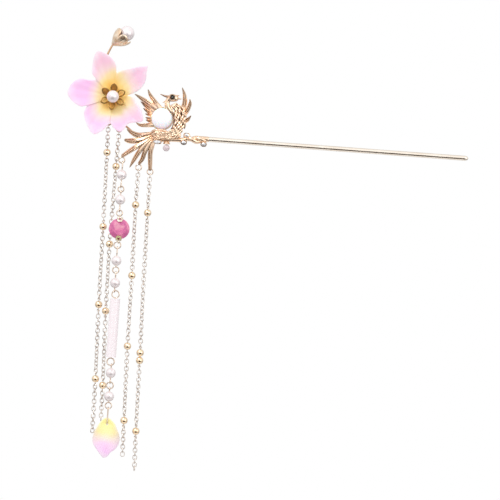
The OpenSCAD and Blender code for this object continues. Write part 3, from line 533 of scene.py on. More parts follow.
head_line = [[-80, 77.5, 8, -4], [-73, 77, 6.5, -4]]
beaks = [[[-84, 79, 3, -4], [-94, 80, 2, -4], [-103, 83, 0.8, -4]],
         [[-85, 75, 2.6, -4], [-91, 70.5, 1.6, -4], [-97, 67, 0.7, -4]]]
crests = [[[-74, 82, 2, -4], [-66, 83, 0.9, -4]], [[-70, 77, 2.2, -4], [-61, 76.5, 0.9, -4]]]
branch_line = [[-111, -6, 3.6, 0], [-100, -8, 4, 0], [-84, -6.5, 4.2, 0], [-66, -5.5, 4.2, 0],
               [-52, -5, 4.9, 0], [-44, -1.5, 4.4, 0]]
fills = [[-110, -9, 3, -1.5], [-55, 35, 3, -1]]
# Short strands over both ends of the body
curls = [[[-114, 8, 2.2, -2], [-106, 10.5, 3, -5], [-96, 8.5, 2.4, -6.5]],
         [[-115, 1, 2.2, -3], [-108, 5, 3, -6.5], [-100, 8.5, 2.4, -6.5]],
         [[-105, 12, 2, -3], [-96, 12, 2.6, -4], [-86, 9.5, 2, -6]],
         [[-60, 11, 2.2, -4], [-59, 3, 3, -5], [-64, -2, 2.4, -5.5]],
         [[-64, 15, 2.2, -6], [-63, 6, 2.8, -7], [-67, 0, 2.2, -7.5]]]
string_top = np.array([-170.5, -7.5, -54]) * ONE
# Where a ring goes through a tail feather's tip
carved = {2: string_top, 4: np.array([-136.5, 5.5, -66]) * ONE, 5: np.array([-112.8, 5.5, -73]) * ONE}
half_columns = (0, 0.13, 0.26, 0.36, 0.46, 0.53, 0.6, 0.72, 0.86, 0.95, 1)
columns = [-a for a in half_columns[:0:-1]] + list(half_columns)


def feather_front(a, deep):
    """Share of the thickness that a feather's front has at a share of its half width."""
    groove = deep * max(0, 1 - ((abs(a) - GROOVE_AT) / GROOVE_W) ** 2)
    return 1 - groove - ROOF * abs(a) - EDGE_FALL * abs(a) ** 4


def feather(rows, steps=28, smooth_part=SMOOTH_ROOT):
    """Feather with a flat back and three ridges; its root is smooth over the first share."""
    at = [along(rows, i / steps) for i in range(steps + 1)]
    line = [r[:2] for r in at]
    ways = headings(line)
    length = sum(np.linalg.norm(line[i + 1] - line[i]) for i in range(steps))
    rings = []
    for i, (row, way) in enumerate(zip(at, ways)):
        left = length * (1 - i / steps)
        blunt = min(1, left / max(rows[-1][2] * 0.5, 0.1))
        width = row[2] * math.sqrt(max(0.02, 1 - (1 - blunt) ** 2))
        thick = FEATHER * (NARROW + (1 - NARROW) * min(1, width / BROAD))
        deep = GROOVE * min(1, max(FAINT, (i / steps - smooth_part) / FULL_PAST))
        ring = [(a, feather_front(a, deep)) for a in columns] + [(BACK_WIDE, 0), (-BACK_WIDE, 0)]
        rings.append([((row[0] - a * width / 2 * way[1]) * ONE,
                       row[3] * ONE + thick / 2 - f * thick,
                       (row[1] + a * width / 2 * way[0]) * ONE) for a, f in ring])
    middles = [abs(a + b) / 2 for a, b in zip(columns, columns[1:])]
    # Columns in the grooves take the second material from a row on: painted shade
    dark = [j for j, a in enumerate(middles) if abs(a - GROOVE_AT) < GROOVE_W]
    return skin(rings, dark=dark, dark_from=round(steps * (smooth_part + DARK_PAST)))


def ring_room(at):
    """Room that a jump ring through a feather's tip needs."""
    return oval(RING_R, 0, WIRE + 2 * LINK_GAP, 12, 16).moved(move(*at))


# Lines that the body's strands run between, in rows of [across, up, depth]
strands_in = [[-83, 62, -7], [-75, 52, -9], [-69, 38, -10.5], [-70, 22, -10.5], [-77, 11, -10],
              [-90, 6.5, -9.5], [-103, 6, -8.5], [-113, 4, -4]]
strands_out = [[-73, 68, -4], [-59, 60, -6], [-51.5, 46, -6.5], [-52, 28, -6], [-58, 11, -6],
               [-73, -2.5, -7], [-93, -4.5, -7.5], [-112, -6, -4]]
STRANDS = 5
WAVE, WEAVE = 3.2, 0.27
STRAND_R, STRAND_SWELL = 0.43, 0.07


def strand_line(side):
    """Points in mm at a share of the way from the inner line to the outer one."""
    rows = [[(1 - side) * a + side * b for a, b in zip(p, q)] for p, q in zip(strands_in, strands_out)]
    return [np.array([r[0], r[2], r[1]]) * ONE for r in smooth(rows, 24)]


def strands():
    """Wavy strands on the body that meet and part, with long hollows between."""
    out = Shape()
    apart = 1 / (STRANDS - 1)
    for n in range(STRANDS):
        line, beside = strand_line(n * apart), strand_line((n + 1) * apart)
        steps = [np.linalg.norm(b - a) for a, b in zip(line, line[1:])]
        lengths = np.concatenate([[0], np.cumsum(steps)])
        pts, radii = [], []
        for i, s in enumerate(lengths):
            wave = math.sin(2 * math.pi * s / WAVE + math.pi * n + 0.7 * math.sin(1.1 * s + n))
            share = s / lengths[-1]
            ends = min(1, 6 * share, 5 * (1 - share))
            pts.append(line[i] + (beside[i] - line[i]) * WEAVE * wave * ends)
            swell = STRAND_SWELL * math.cos(4 * math.pi * s / WAVE + n)
            radii.append((STRAND_R + swell) * (0.45 + 0.55 * ends))
        out.add(tube(pts, radii, 14))
    return out


def knob():
    """Two strands twisted round the stick's root, and the collar that the stick sits in."""
    out = Shape()
    steps = 44
    start, dip, turns, strand, spread = -48 * ONE, -2.5 * ONE, 1.1, 4.6 * ONE, 3.6 * ONE
    for first in (0, 180):
        pts, radii = [], []
        for i in range(steps + 1):
            s = i / steps
            a = math.radians(first + 70 + 360 * turns * s)
            swell = math.sin(math.pi * s)
            reach = spread * (0.35 + 0.65 * swell)
            pts.append((start * (1 - s) - GAP, reach * math.cos(a), dip * swell + reach * math.sin(a)))
            radii.append(strand * (0.62 + 0.38 * swell))
        out.add(tube(pts, radii, 20))
    collar = lathe([(0.2, -4.9), (0.8, -4.7), (1.1, -4), (1.1, -0.35), (1.0, -GAP)], 28)
    return out.add(collar, turn(90, "Y"))


def stadium(r, half, y):
    """Ring of a stone cup at a depth: a circle drawn out sideways, with no point in the middle."""
    return [(math.copysign(half, math.cos(a)) + r * math.cos(a), y, r * math.sin(a))
            for a in around(32) + 0.01]


CUP_WALL, CUP_AT = 0.28, -4


def stone_cup(row, d):
    """Cup with a rim round a small stone, from a row of [across, up, width by height, lean]."""
    x, z, wide, lean = row
    r, half, hole = d / 2 + CUP_WALL, (wide - 1) * d / 2, d / 2 + GAP
    rings = [stadium(r * 0.9, half, 0.75), stadium(r, half, 0.6), stadium(r, half, -0.02),
             stadium(r - 0.04, half, -0.1), stadium(hole, half, -0.1), stadium(hole, half, 0.4)]
    return skin(rings).moved(move(x * ONE, CUP_AT * ONE, z * ONE) @ turn(lean, "X"))


EYE_D, BRANCH_D = 1.5, 1.6
SOCKET_Y = -0.4
eye_seat = (-79, 79, 1, 0)
branch_seats = [(-103, -12.5, 2, 40), (-50, -10, 1.25, 30), (-45, 5.5, 1.4, -35), (-10, -11, 1.25, 30)]
OPAL_R = 8.3 / 2
OPAL_AT = (-19.36, 0, 6.96)
BEZEL_WALL = 0.45
CAP_AT = (-84 * ONE, 0, -12.4 * ONE - 0.65)
BARREL_AT = (-26, 1.35, -1.3)
cap_profile = [(0.3, 0), (1.35, 0.02), (1.5, 0.15), (0.9, 1.2), (0.6, 1.3)]
barrel_profile = [(0.3, 2.9), (0.5, 2.9), (0.5, 0), (0.85, 0), (0.95, 0.1), (0.95, 3.3), (0.85, 3.4),
                  (0.3, 3.4)]
socket_profile = [(0.85, 0), (0.85, 0.9), (1.15, 1.9), (1.3, 4)]


def bezel():
    """Rim round the opal, with a rounded lip."""
    hole, rim = OPAL_R + GAP, OPAL_R + GAP + BEZEL_WALL
    rows = [(rim - 0.15, -1), (rim, -0.85), (rim, 0.7), (rim - 0.06, 0.84), (rim - 0.2, 0.9),
            (hole + 0.06, 0.85), (hole, 0.75), (hole, 0.2), (hole - 0.2, 0.2)]
    return lathe(rows, 72).moved(move(*OPAL_AT) @ turn(90, "X"))


def phoenix():
    """The casting: bird, tail, branch, knob, stone cups, cap and barrel."""
    out = Shape()
    for rows in left_wing + right_wing:
        out.add(feather(rows))
    # The bands behind the right wing are all in the second material: painted shade
    for rows in right_bands:
        out.add(feather([[x, z, w, y + BAND_BACK] for x, z, w, y in rows], 34).toned(1))
    for n, rows in enumerate(tail):
        one_feather = feather(rows, 34, TAIL_SMOOTH[n])
        out.add(carve(one_feather, ring_room(carved[n])) if n in carved else one_feather)
    # The body under the strands is in the second material: painted shade
    out.add(limb(body_line).toned(1))
    for rows in curls:
        out.add(limb(rows, 6, 12))
    for rows in hubs:
        out.add(blob(rows))
    for rows in [branch_line, beaks[1]] + crests:
        out.add(limb(rows))
    # The top of the beak is in the second material: painted shade
    out.add(limb(beaks[0]).toned(1))
    at_eye = move(eye_seat[0] * ONE, SOCKET_Y, eye_seat[1] * ONE) @ turn(90, "X")
    socket = lathe(socket_profile, 32).moved(at_eye)
    for rows in [neck_line, head_line]:
        out.add(carve(limb(rows), socket))
    for row in fills:
        out.add(blob([row]))
    out.add(strands()).add(knob()).add(bezel())
    out.add(stone_cup(eye_seat, EYE_D))
    for row in branch_seats:
        out.add(stone_cup(row, BRANCH_D))
    out.add(lathe(cap_profile, 28), move(*CAP_AT))
    return out.add(lathe(barrel_profile, 24), move(*BARREL_AT) @ turn(90, "Y"))


piece("phoenix_casting", phoenix(), [cast_gold, shade_gold], ["phoenix"])

# Flower

FLOWER_AT = np.array([-39.4, 0, 14.1])
FLOWER_FRONT = -4.0
FLOWER_THICK, FLOWER_HOLE = 1.0, 0.65
REACH = 19.1
CUP_FROM, CUP_DEEP, CUP_SIDES = 0.3, 2.6, 1.3
VEIN, OVERLAP = 0.10, 0.28
RINGS = 26
# Outline in rows of [angle, percent of the reach], and the angles of the notches between petals
flower_edge = [
    [9.5, 31], [17, 52], [28, 73], [40, 87], [45.5, 96], [50, 89], [64, 69], [80, 55],
    [86, 52], [89, 67], [98, 84], [106, 94], [112, 100], [118, 95], [128, 77], [136, 65],
    [139, 51], [149, 62], [155, 79], [165, 89], [179, 95], [190, 86], [201, 70],
    [203.5, 58], [213, 69], [233, 81], [246, 88], [254, 79],
    [267, 57], [276, 66], [287, 75], [303, 65], [316, 72], [325, 80], [337, 68], [350, 50], [363, 43]]
notches = [9.5, 86, 139, 203.5, 267, 369.5]


def petal_side(angle):
    """Share of the way from a petal's middle to the notch beside it."""
    b = angle + 360 if angle < notches[0] else angle
    i = max(n for n in range(5) if notches[n] <= b + 0.01)
    middle = (notches[i] + notches[i + 1]) / 2
    return (b - middle) / (notches[i + 1] - middle)


def flower_front(angle, r, share):
    """Depth of the flower's front: cupped petals with faint veins, one over the next at each notch."""
    side, out = petal_side(angle), max(0, r / REACH - CUP_FROM) / (1 - CUP_FROM)
    cup = FLOWER_FRONT - CUP_DEEP * out ** 1.4 - CUP_SIDES * side * side * out
    vein = VEIN * share * math.cos(side * math.pi * 4) * max(0, 1 - abs(side))
    return cup + vein - OVERLAP * side * min(1, r / 9)


def plate(front, back):
    """Plate between a front and a back grid of rings, round a hole."""
    return skin(list(front) + list(back)[::-1], loop=True)


def leaf(outline, centre, hole, reach, thick, edge, shares, front_at):
    """Curved plate round a hole, out to an outline that keeps a share of its thickness.
    The front's depth depends on angle, radius and share of the way out."""
    front, back = [], []
    for share in shares:
        thin = (thick - thick * (edge + (1 - edge) * math.sqrt(max(0, 1 - share ** 8)))) / 2
        ring_f, ring_b = [], []
        for angle, percent in round_edge(outline, 8):
            r = hole + (reach * percent / 100 - hole) * share
            x, z = polar(r, angle)
            y = front_at(angle, r, share)
            ring_f.append(centre + (x, y + thin, z))
            ring_b.append(centre + (x, y + thick - thin, z))
        front.append(ring_f)
        back.append(ring_b)
    return plate(front, back)


def mark_rim(o, rings):
    """Gives each point of a plate its share of the way from the hole to the rim."""
    sides = len(o.data.vertices) // (2 * rings)
    rows = list(range(rings)) + list(range(rings))[::-1]
    values = [row / (rings - 1) for row in rows for _ in range(sides)]
    o.data.attributes.new("rim", "FLOAT", "POINT").data.foreach_set("value", values)


def pale_rim(look, colour, start=0.74, most=0.5):
    """Colour that turns paler toward the rim, more in some places than in others."""
    reach = look.node("ShaderNodeAttribute", attribute_name="rim").outputs["Fac"]
    far_out = look.fit(look.drift(reach, 5, 0.1), start, 1.05, 0.0, most)
    return look.mix(far_out, colour, (1.0, 0.90, 0.95))


# Hue round the flower, from angle -180 to 180 degrees: how far the pink comes in, and where it's lilac
pink_in = [(0.0, 0.62), (0.14, 0.42), (0.26, 0.62), (0.38, 0.66), (0.48, 0.62), (0.55, 0.5), (0.62, 0.45),
           (0.72, 0.25), (0.81, 0.22), (0.86, 0.42), (0.93, 0.62), (1.0, 0.62)]
lilac_at = [(0.0, 1), (0.3, 0.7), (0.42, 0.25), (0.6, 0.3), (0.84, 0.0), (0.9, 1)]


def petal_look():
    """Yellow round the middle, pink further out, with a hue that changes from petal to petal."""
    look = Look("petals", Roughness=0.5, Subsurface_Weight=0.35, Subsurface_Scale=0.002,
                Subsurface_Radius=(1.0, 0.55, 0.6), Sheen_Weight=0.1)
    flat = look.vector("SUBTRACT", look.coords, tuple(FLOWER_AT * MM))
    flat = look.vector("MULTIPLY", flat, (1, 0, 1))
    angle = look.math("ARCTAN2", look.axes(flat)["Z"], look.axes(flat)["X"])
    round_it = look.fit(angle, -math.pi, math.pi)
    reach = look.math("MULTIPLY", look.vector("LENGTH", flat), 1 / (REACH * MM))
    reach = look.drift(reach, 9, 0.07)
    reach = look.math("ADD", reach, look.fit(look.grey_ramp(round_it, *pink_in), 0, 1, -0.25, 0.25))
    tips = look.mix(look.grey_ramp(round_it, *lilac_at), (0.965, 0.62, 0.74), (0.955, 0.575, 0.845))
    middle = look.ramp(reach, (0.14, (1.0, 0.58, 0.13)), (0.26, (1.0, 0.68, 0.24)), (0.38, (1.0, 0.77, 0.46)),
                       (0.5, (0.99, 0.79, 0.68)))
    tone = look.mix(look.fit(reach, 0.38, 0.66), middle, tips)
    # The petals glow a little: painted light
    look.glow(pale_rim(look, tone), 0.05)
    look.bump(look.noise(1.2), 0.02, 0.4)
    return look.material


# Rings lie closer together toward the rim
shares = [0.35 * math.sin(math.pi / 2 * i / RINGS) + 0.65 * i / RINGS for i in range(RINGS + 1)]
flower = leaf(flower_edge, FLOWER_AT, FLOWER_HOLE, REACH, FLOWER_THICK, 0.25, shares, flower_front)
mark_rim(piece("flower_petals", flower, [petal_look()], ["flower"], sharp=60), len(shares))

# Stamen

LOOP_L, LOOP_W, LOOP_WIRE = 3.3, 1.15, 0.55
LOOPS, LOOP_START, LOOP_LEAN, LOOP_OUT = 6, -28, -22, 2.05
LOOP_R = (LOOP_L ** 2 / 4 + LOOP_W ** 2) / (2 * LOOP_W)
LOOP_HALF = math.asin(LOOP_L / 2 / LOOP_R)
STAMEN_Y = FLOWER_FRONT - GAP - 0.3
hub_profile = [(0.45, -0.3), (2.2, -0.3), (2.3, -0.2), (2.3, 0.1), (2.1, 0.28), (1.2, 0.3), (0.45, 0.3)]
# Loops that a sheet of painted shade closes, each with its tone
shade_sheets = {1: 1, 2: 1, 4: 2}


def loop_side(side, count):
    """Points of one arched side of a pointed loop, from its foot to its tip."""
    return [(LOOP_L / 2 + LOOP_R * math.sin(a), side * (LOOP_R * math.cos(a) - LOOP_R + LOOP_W))
            for a in np.linspace(-LOOP_HALF, LOOP_HALF, count)]


def wire_loop():
    out = Shape()
    for side in (1, -1):
        out.add(tube([(x, 0, z) for x, z in loop_side(side, 18)], LOOP_WIRE / 2, 12))
    return out.add(ball(LOOP_WIRE * 0.575, 14), move(LOOP_L, 0, 0))


def shade_sheet():
    """Thin pointed sheet that closes a loop, painted as the shade inside it."""
    edge = loop_side(1, 14)[:-1] + loop_side(-1, 14)[::-1][:-1]
    return skin([[(x, y, z) for x, z in edge] for y in (0.02, -0.1)])


def stamen():
    out = lathe(hub_profile, 48).moved(turn(90, "X"))
    for i in range(LOOPS):
        on_hub = turn(LOOP_START - 360 / LOOPS * i, "Y") @ move(LOOP_OUT, 0, 0) @ turn(LOOP_LEAN, "Z")
        out.add(wire_loop(), on_hub)
        if i in shade_sheets:
            out.add(shade_sheet().toned(shade_sheets[i]), on_hub)
    return out.moved(move(FLOWER_AT[0], STAMEN_Y, FLOWER_AT[2]))


piece("stamen_cap", stamen(), [antique_gold, loop_shade_brown, loop_shade_amber], ["stamen"])

# Wire behind the flower, and the bud

CHAIN_BACK = 3.4
STEM_R, PIN_R = 0.4, 0.35
COIL_R, COIL_LONG = 1, 1.1
PIN_EYE_R = STEM_R + LINK_GAP + PIN_R
PIN_EYE_Y = FLOWER_FRONT + FLOWER_THICK + GAP + PIN_R + PIN_EYE_R
BUD_AT = np.array([-41.3, -2.5, 34.8])
BUD_TURN = 42
bud_across, bud_up = polar(1, BUD_TURN)
bud_way = np.array([bud_across, 0, bud_up])
BUD_PEARL_RISE = 4.5 + 3
wire_start = [[-23.2, 1.35, -1.3], [-24.7, 1.35, -1.3], [-26.3, 1.35, -1.3], [-28.8, 1.5, -0.6],
              [-31, 1.9, 1], [-33, 2.6, 2.5], [-34.6, CHAIN_BACK, 3.5]]
wire_middle = [[-37.6, CHAIN_BACK, 4], [-39.2, CHAIN_BACK, 5.2]]
wire_end = [[-42.2, CHAIN_BACK - 0.2, 6.5], [-43, 2.2, 8.8], [-41.8, 0.3, 11.3],
            [-39.8, PIN_EYE_Y + 0.2, 13.2], [-39.4, PIN_EYE_Y, 14.1], [-39.6, PIN_EYE_Y - 0.05, 15],
            [-41, -1.9, 18], [-42.6, -2.1, 21.8], [-43.6, -2.3, 26], [-43, -2.5, 30.4]]


def wire_eye(x, top, steps=40):
    """One coil of the wire, that a chain's ring hangs in."""
    return [(x + COIL_LONG * (0.5 - i / steps), CHAIN_BACK + COIL_R * math.sin(2 * math.pi * i / steps),
             top - COIL_R + COIL_R * math.cos(2 * math.pi * i / steps)) for i in range(steps + 1)]


def flower_wire():
    eye_b, eye_a = wire_eye(-36.2, 3.6), wire_eye(-40.7, 6)
    path = (smooth(wire_start + [eye_b[0]], 8) + eye_b[1:-1]
            + smooth([eye_b[-1]] + wire_middle + [eye_a[0]], 8) + eye_a[1:-1]
            + smooth([eye_a[-1]] + wire_end + [BUD_AT + bud_way * 0.3], 8)
            + [BUD_AT + bud_way * 2, BUD_AT + bud_way * (BUD_PEARL_RISE - 0.2)])
    return tube(path, STEM_R, 16)


piece("flower_wire_fine", flower_wire(), [wire_gold], ["flower_wire"])

BUD_R, BUD_H, BUD_WALL = 3.9, 6.6, 0.5
BUD_RINGS, DENT = 18, 0.07
bud_profile = [[0.14, 0], [0.46, 0.22], [0.77, 0.45], [0.95, 0.69], [1, 0.89], [0.96, 1]]


def bud_leaves():
    """Cup of five pointed leaves, dented along their middles."""
    outer, inner = [], []
    leaf_edge = [(a, 0.5 + 0.5 * abs(math.cos(2.5 * math.radians(a))) ** 0.7) for a in np.arange(0, 360, 3)]
    for i in range(BUD_RINGS + 1):
        ring_o, ring_i = [], []
        for a, reach in leaf_edge:
            share = reach * i / BUD_RINGS
            at = along(bud_profile, share)
            dent = DENT * math.sin(math.pi * share) * abs(math.sin(7.5 * math.radians(a)))
            c, s = polar(1, a)
            r_out, r_in = at[0] * BUD_R - dent, at[0] * BUD_R - BUD_WALL * share - 0.02
            ring_o.append((r_out * c, r_out * s, at[1] * BUD_H))
            ring_i.append((r_in * c, r_in * s, at[1] * BUD_H + BUD_WALL * (1.3 - 1.2 * share)))
        outer.append(ring_o)
        inner.append(ring_i)
    return plate(inner, outer).moved(move(*BUD_AT) @ turn(90 - BUD_TURN, "Y"))


piece("bud_leaves", bud_leaves(), [leaf_gold], ["bud_cup"], sharp=50)

# String: pink stone, its setting and the drop

STRING_Y = string_top[1]
STONE_AT = np.array([-33.13, STRING_Y, -38.3])
STONE_R, STONE_CROWN, STONE_BACK = 8.3 / 2, 1.5, 1.6
TABLE, GIRDLE = 0.58, 0.06
DROP_HOLE = np.array([-32.3, STRING_Y, -116.5])


def brilliant(r, crown, pavilion, sides):
    """Round cut stone: table, star, kite and girdle facets over a pointed back."""
    def ring(share, y, offset):
        return [(r * share * math.cos(a), y, r * share * math.sin(a))
                for a in around(sides) + offset * math.pi / sides]
    girdle = GIRDLE * r
    top, mid = ring(TABLE, -crown, 1), ring(0.8, -crown * 0.58, 0)
    edge_a, edge_b = ring(1, -girdle, 1), ring(1, -girdle, 0)
    low_a, low_b = ring(1, girdle, 1), ring(1, girdle, 0)
    deep = ring(0.45, pavilion * 0.72, 1)
    pts = top + mid + edge_a + edge_b + low_a + low_b + deep + [(0, pavilion, 0)]
    t, m, a, b, la, lb, d, back = (n * sides for n in range(8))
    faces = [list(range(sides))[::-1]]
    for j in range(sides):
        k = (j + 1) % sides
        faces += [[t + j, t + k, m + k], [m + j, t + j, m + k, a + j],
                  [m + j, a + j, b + j], [a + j, m + k, b + k],
                  [b + j, a + j, la + j, lb + j], [a + j, b + k, lb + k, la + j],
                  [lb + j, la + j, d + j], [la + j, lb + k, d + j], [lb + k, d + k, d + j],
                  [d + j, d + k, back]]
    return Shape(pts, faces)


def pink_look():
    look = Look("pink_stone", Roughness=0.06, IOR=1.6, Transmission_Weight=0.25, Coat_Weight=0.5,
                Coat_Roughness=0.02)
    # The stone glows a little: painted light
    look.glow(look.ramp(look.noise(3, 3, 0.6), (0.35, (0.66, 0.12, 0.36)), (0.5, (0.84, 0.21, 0.43)),
                        (0.66, (0.95, 0.45, 0.58))), 0.06)
    look.bump(look.noise(1.2, 2), 0.01, 0.3)
    return look.material


stone = brilliant(STONE_R, STONE_CROWN, STONE_BACK, 12).moved(move(*STONE_AT))
piece("pink_stone_cut", stone, [pink_look()], ["pink_stone"], sharp=5)

# Claws: thickness, width, and their holes' and rims' sizes and distance below the stone's edge
CLAW_T, CLAW_W = 0.45, 2.4
CLAW_HOLE, CLAW_RIM, RIM_WIRE, HOLE_IN = 0.48, 0.62, 0.3, 0.3 * CLAW_W
EYE_R, EYE_WIRE, EYE_OUT = 0.6, 0.5, 0.45
# Back ring's width, and how far the brackets' feet and the claws' tips lie in and the brackets' fronts out
SEAT_W, FOOT_IN, TIP_IN, FRONT_OUT = 1.2, 1.2, 0.35 * CLAW_W, 0.7
seat_profile = [(0.12, 0), (0.9, 0), (1.0, 0.1), (1.0, 0.35), (0.9, 0.45), (0.12, 0.45), (0, 0.35), (0, 0.1)]


def setting():
    """Back ring, and at both ends a bracket, a claw with a rimmed hole and an eye."""
    back = STONE_BACK + GAP
    inside = STONE_R - STONE_BACK
    rings = [[((inside + SEAT_W * a) * math.cos(t), back + b, (inside + SEAT_W * a) * math.sin(t))
              for t in around(64)] for a, b in seat_profile]
    out = skin(rings, loop=True)
    slope = math.degrees(math.atan(STONE_CROWN / (STONE_R * (1 - TABLE))))
    soft, half, plate_z = CLAW_T / 2, CLAW_W / 2, STONE_R + GAP
    corners = (soft - half, half - soft)
    for n, side in enumerate((0, 180)):
        end = Shape()
        strip = [[x, y, plate_z + soft, soft] for x in corners for y in (soft - FRONT_OUT, back + soft)]
        end.add(hull(strip, 12))
        low = [[x, back + soft, STONE_R - FOOT_IN + soft, soft] for x in corners]
        end.add(hull(low + strip[1::2], 12))
        face = [[(half - soft) * math.cos(a), -soft, -TIP_IN + (half - soft) * math.sin(a), soft]
                for a in np.linspace(-math.pi, 0, 13)]
        face += [[x, -soft, GAP + soft, soft] for x in corners]
        hole = lathe([(CLAW_HOLE, -1), (CLAW_HOLE, 2)], 24).moved(move(0, 0, -HOLE_IN) @ turn(90, "X"))
        lean = move(0, -GIRDLE * STONE_R - GAP, STONE_R) @ turn(-slope, "X")
        # The lower claw and its rim take the second material: painted shade
        end.add(carve(hull(face, 12), hole).toned(n), lean)
        end.add(oval(CLAW_RIM, 0, RIM_WIRE, 12, 16).toned(n), lean @ move(0, -CLAW_T, -HOLE_IN))
        eye_z = STONE_R + CLAW_T + GAP + EYE_OUT
        end.add(oval(EYE_R, 0, EYE_WIRE, 12, 16), move(0, 0, eye_z) @ turn(90, "Z"))
        out.add(end, turn(side, "Y"))
    return out.moved(move(*STONE_AT))


piece("stone_setting_fine", setting(), [cream_gold, shaded_claw_gold], ["stone_setting"])

DROP_REACH, DROP_WIDE = 15, 0.355
DROP_THICK, DROP_HOLE_R, DROP_RINGS = 0.9, 0.45, 24
DROP_DEEP, DROP_SIDES = 1.1, 3.5
# Outline in rows of [angle, percent of the reach]
drop_edge = [[28.6, 17], [71.6, 17], [94, 17.5], [122, 17.5], [163, 18.5], [197.5, 27], [215.8, 41],
             [228.8, 56], [239.2, 65], [251.9, 73], [261.7, 83], [267.5, 90], [274.5, 86], [281, 76],
             [290.8, 71], [302, 63], [314, 52], [324.3, 41], [342.5, 27]]


def drop_front(angle, r, _share):
    """Depth of the drop's front, cupped along and bent back across."""
    x, z = polar(r, angle)
    down, side = min(1, max(0, -z / DROP_REACH)), x / (DROP_WIDE * DROP_REACH)
    return -DROP_DEEP * math.sin(math.pi * down) * (1 - DROP_SIDES * side * side) - DROP_THICK / 2


def drop_look():
    look = Look("drop_petal", Roughness=0.45, Sheen_Weight=0.1)
    down = look.drift(look.rise(DROP_HOLE[2] + 2.5, DROP_HOLE[2] - 13.5), 6, 0.05)
    tone = look.ramp(down, (0.05, (0.96, 0.86, 0.33)), (0.36, (0.98, 0.84, 0.42)), (0.5, (0.98, 0.80, 0.70)),
                     (0.66, (0.96, 0.66, 0.88)), (0.84, (0.95, 0.55, 0.93)), (1.0, (0.96, 0.74, 0.94)))
    # The drop glows a little: painted light
    look.glow(pale_rim(look, tone, 0.6, 0.45), 0.08)
    look.bump(look.noise(1.5), 0.02, 0.3)
    return look.material


shares = [i / DROP_RINGS for i in range(DROP_RINGS + 1)]
drop = leaf(drop_edge, DROP_HOLE, DROP_HOLE_R, DROP_REACH, DROP_THICK, 0.3, shares, drop_front)
mark_rim(piece("drop_petal_fine", drop, [drop_look()], ["petal_drop"], DROP, sharp=60), len(shares))

# Chains

LINK_L, LINK_W, LINK_WIRE, BEAD = 2.3, 1.85, 0.36, 3.0
BEAD_EYE, BEAD_NECK = 0.46, 0.12
# Radius of the end arcs and distance between their centres, for a link and for a bead's pin
LINK = (LINK_W - LINK_WIRE) / 2, LINK_L - LINK_W
PIN = BEAD_EYE, BEAD + 2 * (BEAD_NECK + LINK_WIRE / 2 + BEAD_EYE)
# Top, numbers of links between the beads, and route in rows of [down, across]
chains = {
    "a": [(-40.7, CHAIN_BACK, 4), [6, 17, 18, 17, 13],
          [[0, 0], [12, 0.3], [41, 0.9], [72, 1.4], [102, 2.3], [125, 2.6]]],
    "b": [(-36.2, CHAIN_BACK, 1.6), [8, 18, 15, 17, 8],
          [[0, 0], [15, -0.2], [46, -0.5], [73, -0.1], [102, 0.9], [118, 1.2]]]}


def chain(name):
    """Links and bead pins of a chain, each hung in the one above."""
    top, counts, route = chains[name]
    kinds = sum([[LINK] * count + [PIN] for count in counts], [])[:-1]
    down = RING_R + LINK[0] - (WIRE + LINK_WIRE) / 2 - LINK_GAP
    out = Shape()
    for i, (arc, span) in enumerate(kinds):
        if i:
            arc_above, span_above = kinds[i - 1]
            down += span_above + arc_above + arc - LINK_WIRE - LINK_GAP
        middle = down + span / 2
        across = top[0] + np.interp(middle, *zip(*route))
        at = move(across, top[1], top[2] - middle) @ turn(90 * (i + 1) + 4 * i, "Z")
        if (arc, span) == LINK:
            out.add(oval(arc, span, LINK_WIRE), at)
            continue
        for side in (-1, 1):
            out.add(oval(arc, 0, LINK_WIRE), at @ move(0, 0, side * span / 2))
        out.add(tube([(0, 0, arc - span / 2), (0, 0, span / 2 - arc)], LINK_WIRE / 2, 8), at)
    return out


for name in "ab":
    piece("link_chain_" + name, chain(name), [chain_gold], ["chain_" + name])

# Looks of the kept CAD nodes


def opal_look():
    """Milky opal with blue and pink patches, pink at its foot and greenish at its top."""
    look = Look("opal", Roughness=0.3, Subsurface_Weight=0.3, Subsurface_Scale=0.003, Coat_Weight=0.3,
                Coat_Roughness=0.2, IOR=1.4)
    fire = look.ramp(look.noise(3.5, 2, 1.5), (0.3, (0.86, 0.95, 1.0)), (0.5, (0.96, 0.97, 1.0)),
                     (0.7, (0.97, 0.92, 1.0)))
    edge = look.ramp(look.rise(OPAL_AT[2] - OPAL_R, OPAL_AT[2] + OPAL_R), (0.0, (1.0, 0.88, 0.99)),
                     (0.2, (1.0, 0.97, 1.0)), (0.86, (1, 1, 1)), (1.0, (0.72, 0.95, 0.97)))
    # The opal glows: painted light that whitens it
    look.glow(look.mix(1.0, fire, edge, "MULTIPLY"), 0.2)
    look.bump(look.noise(2, 2), 0.004, 0.3)
    return look.material


CRACK_SIZE = 1.6


def crystal_look():
    """Cloudy crystal crazed with fine cracks, glowing a little with painted light."""
    look = Look("crackled_crystal", Roughness=0.12, IOR=1.4, Transmission_Weight=0.12,
                Emission_Color=(1.0, 0.9, 0.95, 1), Emission_Strength=0.06)
    cells = look.node("ShaderNodeTexVoronoi", feature="DISTANCE_TO_EDGE")
    look.fill(cells, Vector=look.coords, Scale=1 / (CRACK_SIZE * MM))
    cracks = look.fit(cells.outputs["Distance"], 0, 0.12)
    look.colour(look.mix(cracks, (0.99, 0.87, 0.91), (0.98, 0.92, 0.94)))
    look.bump(cracks, 0.03, 0.3)
    return look.material


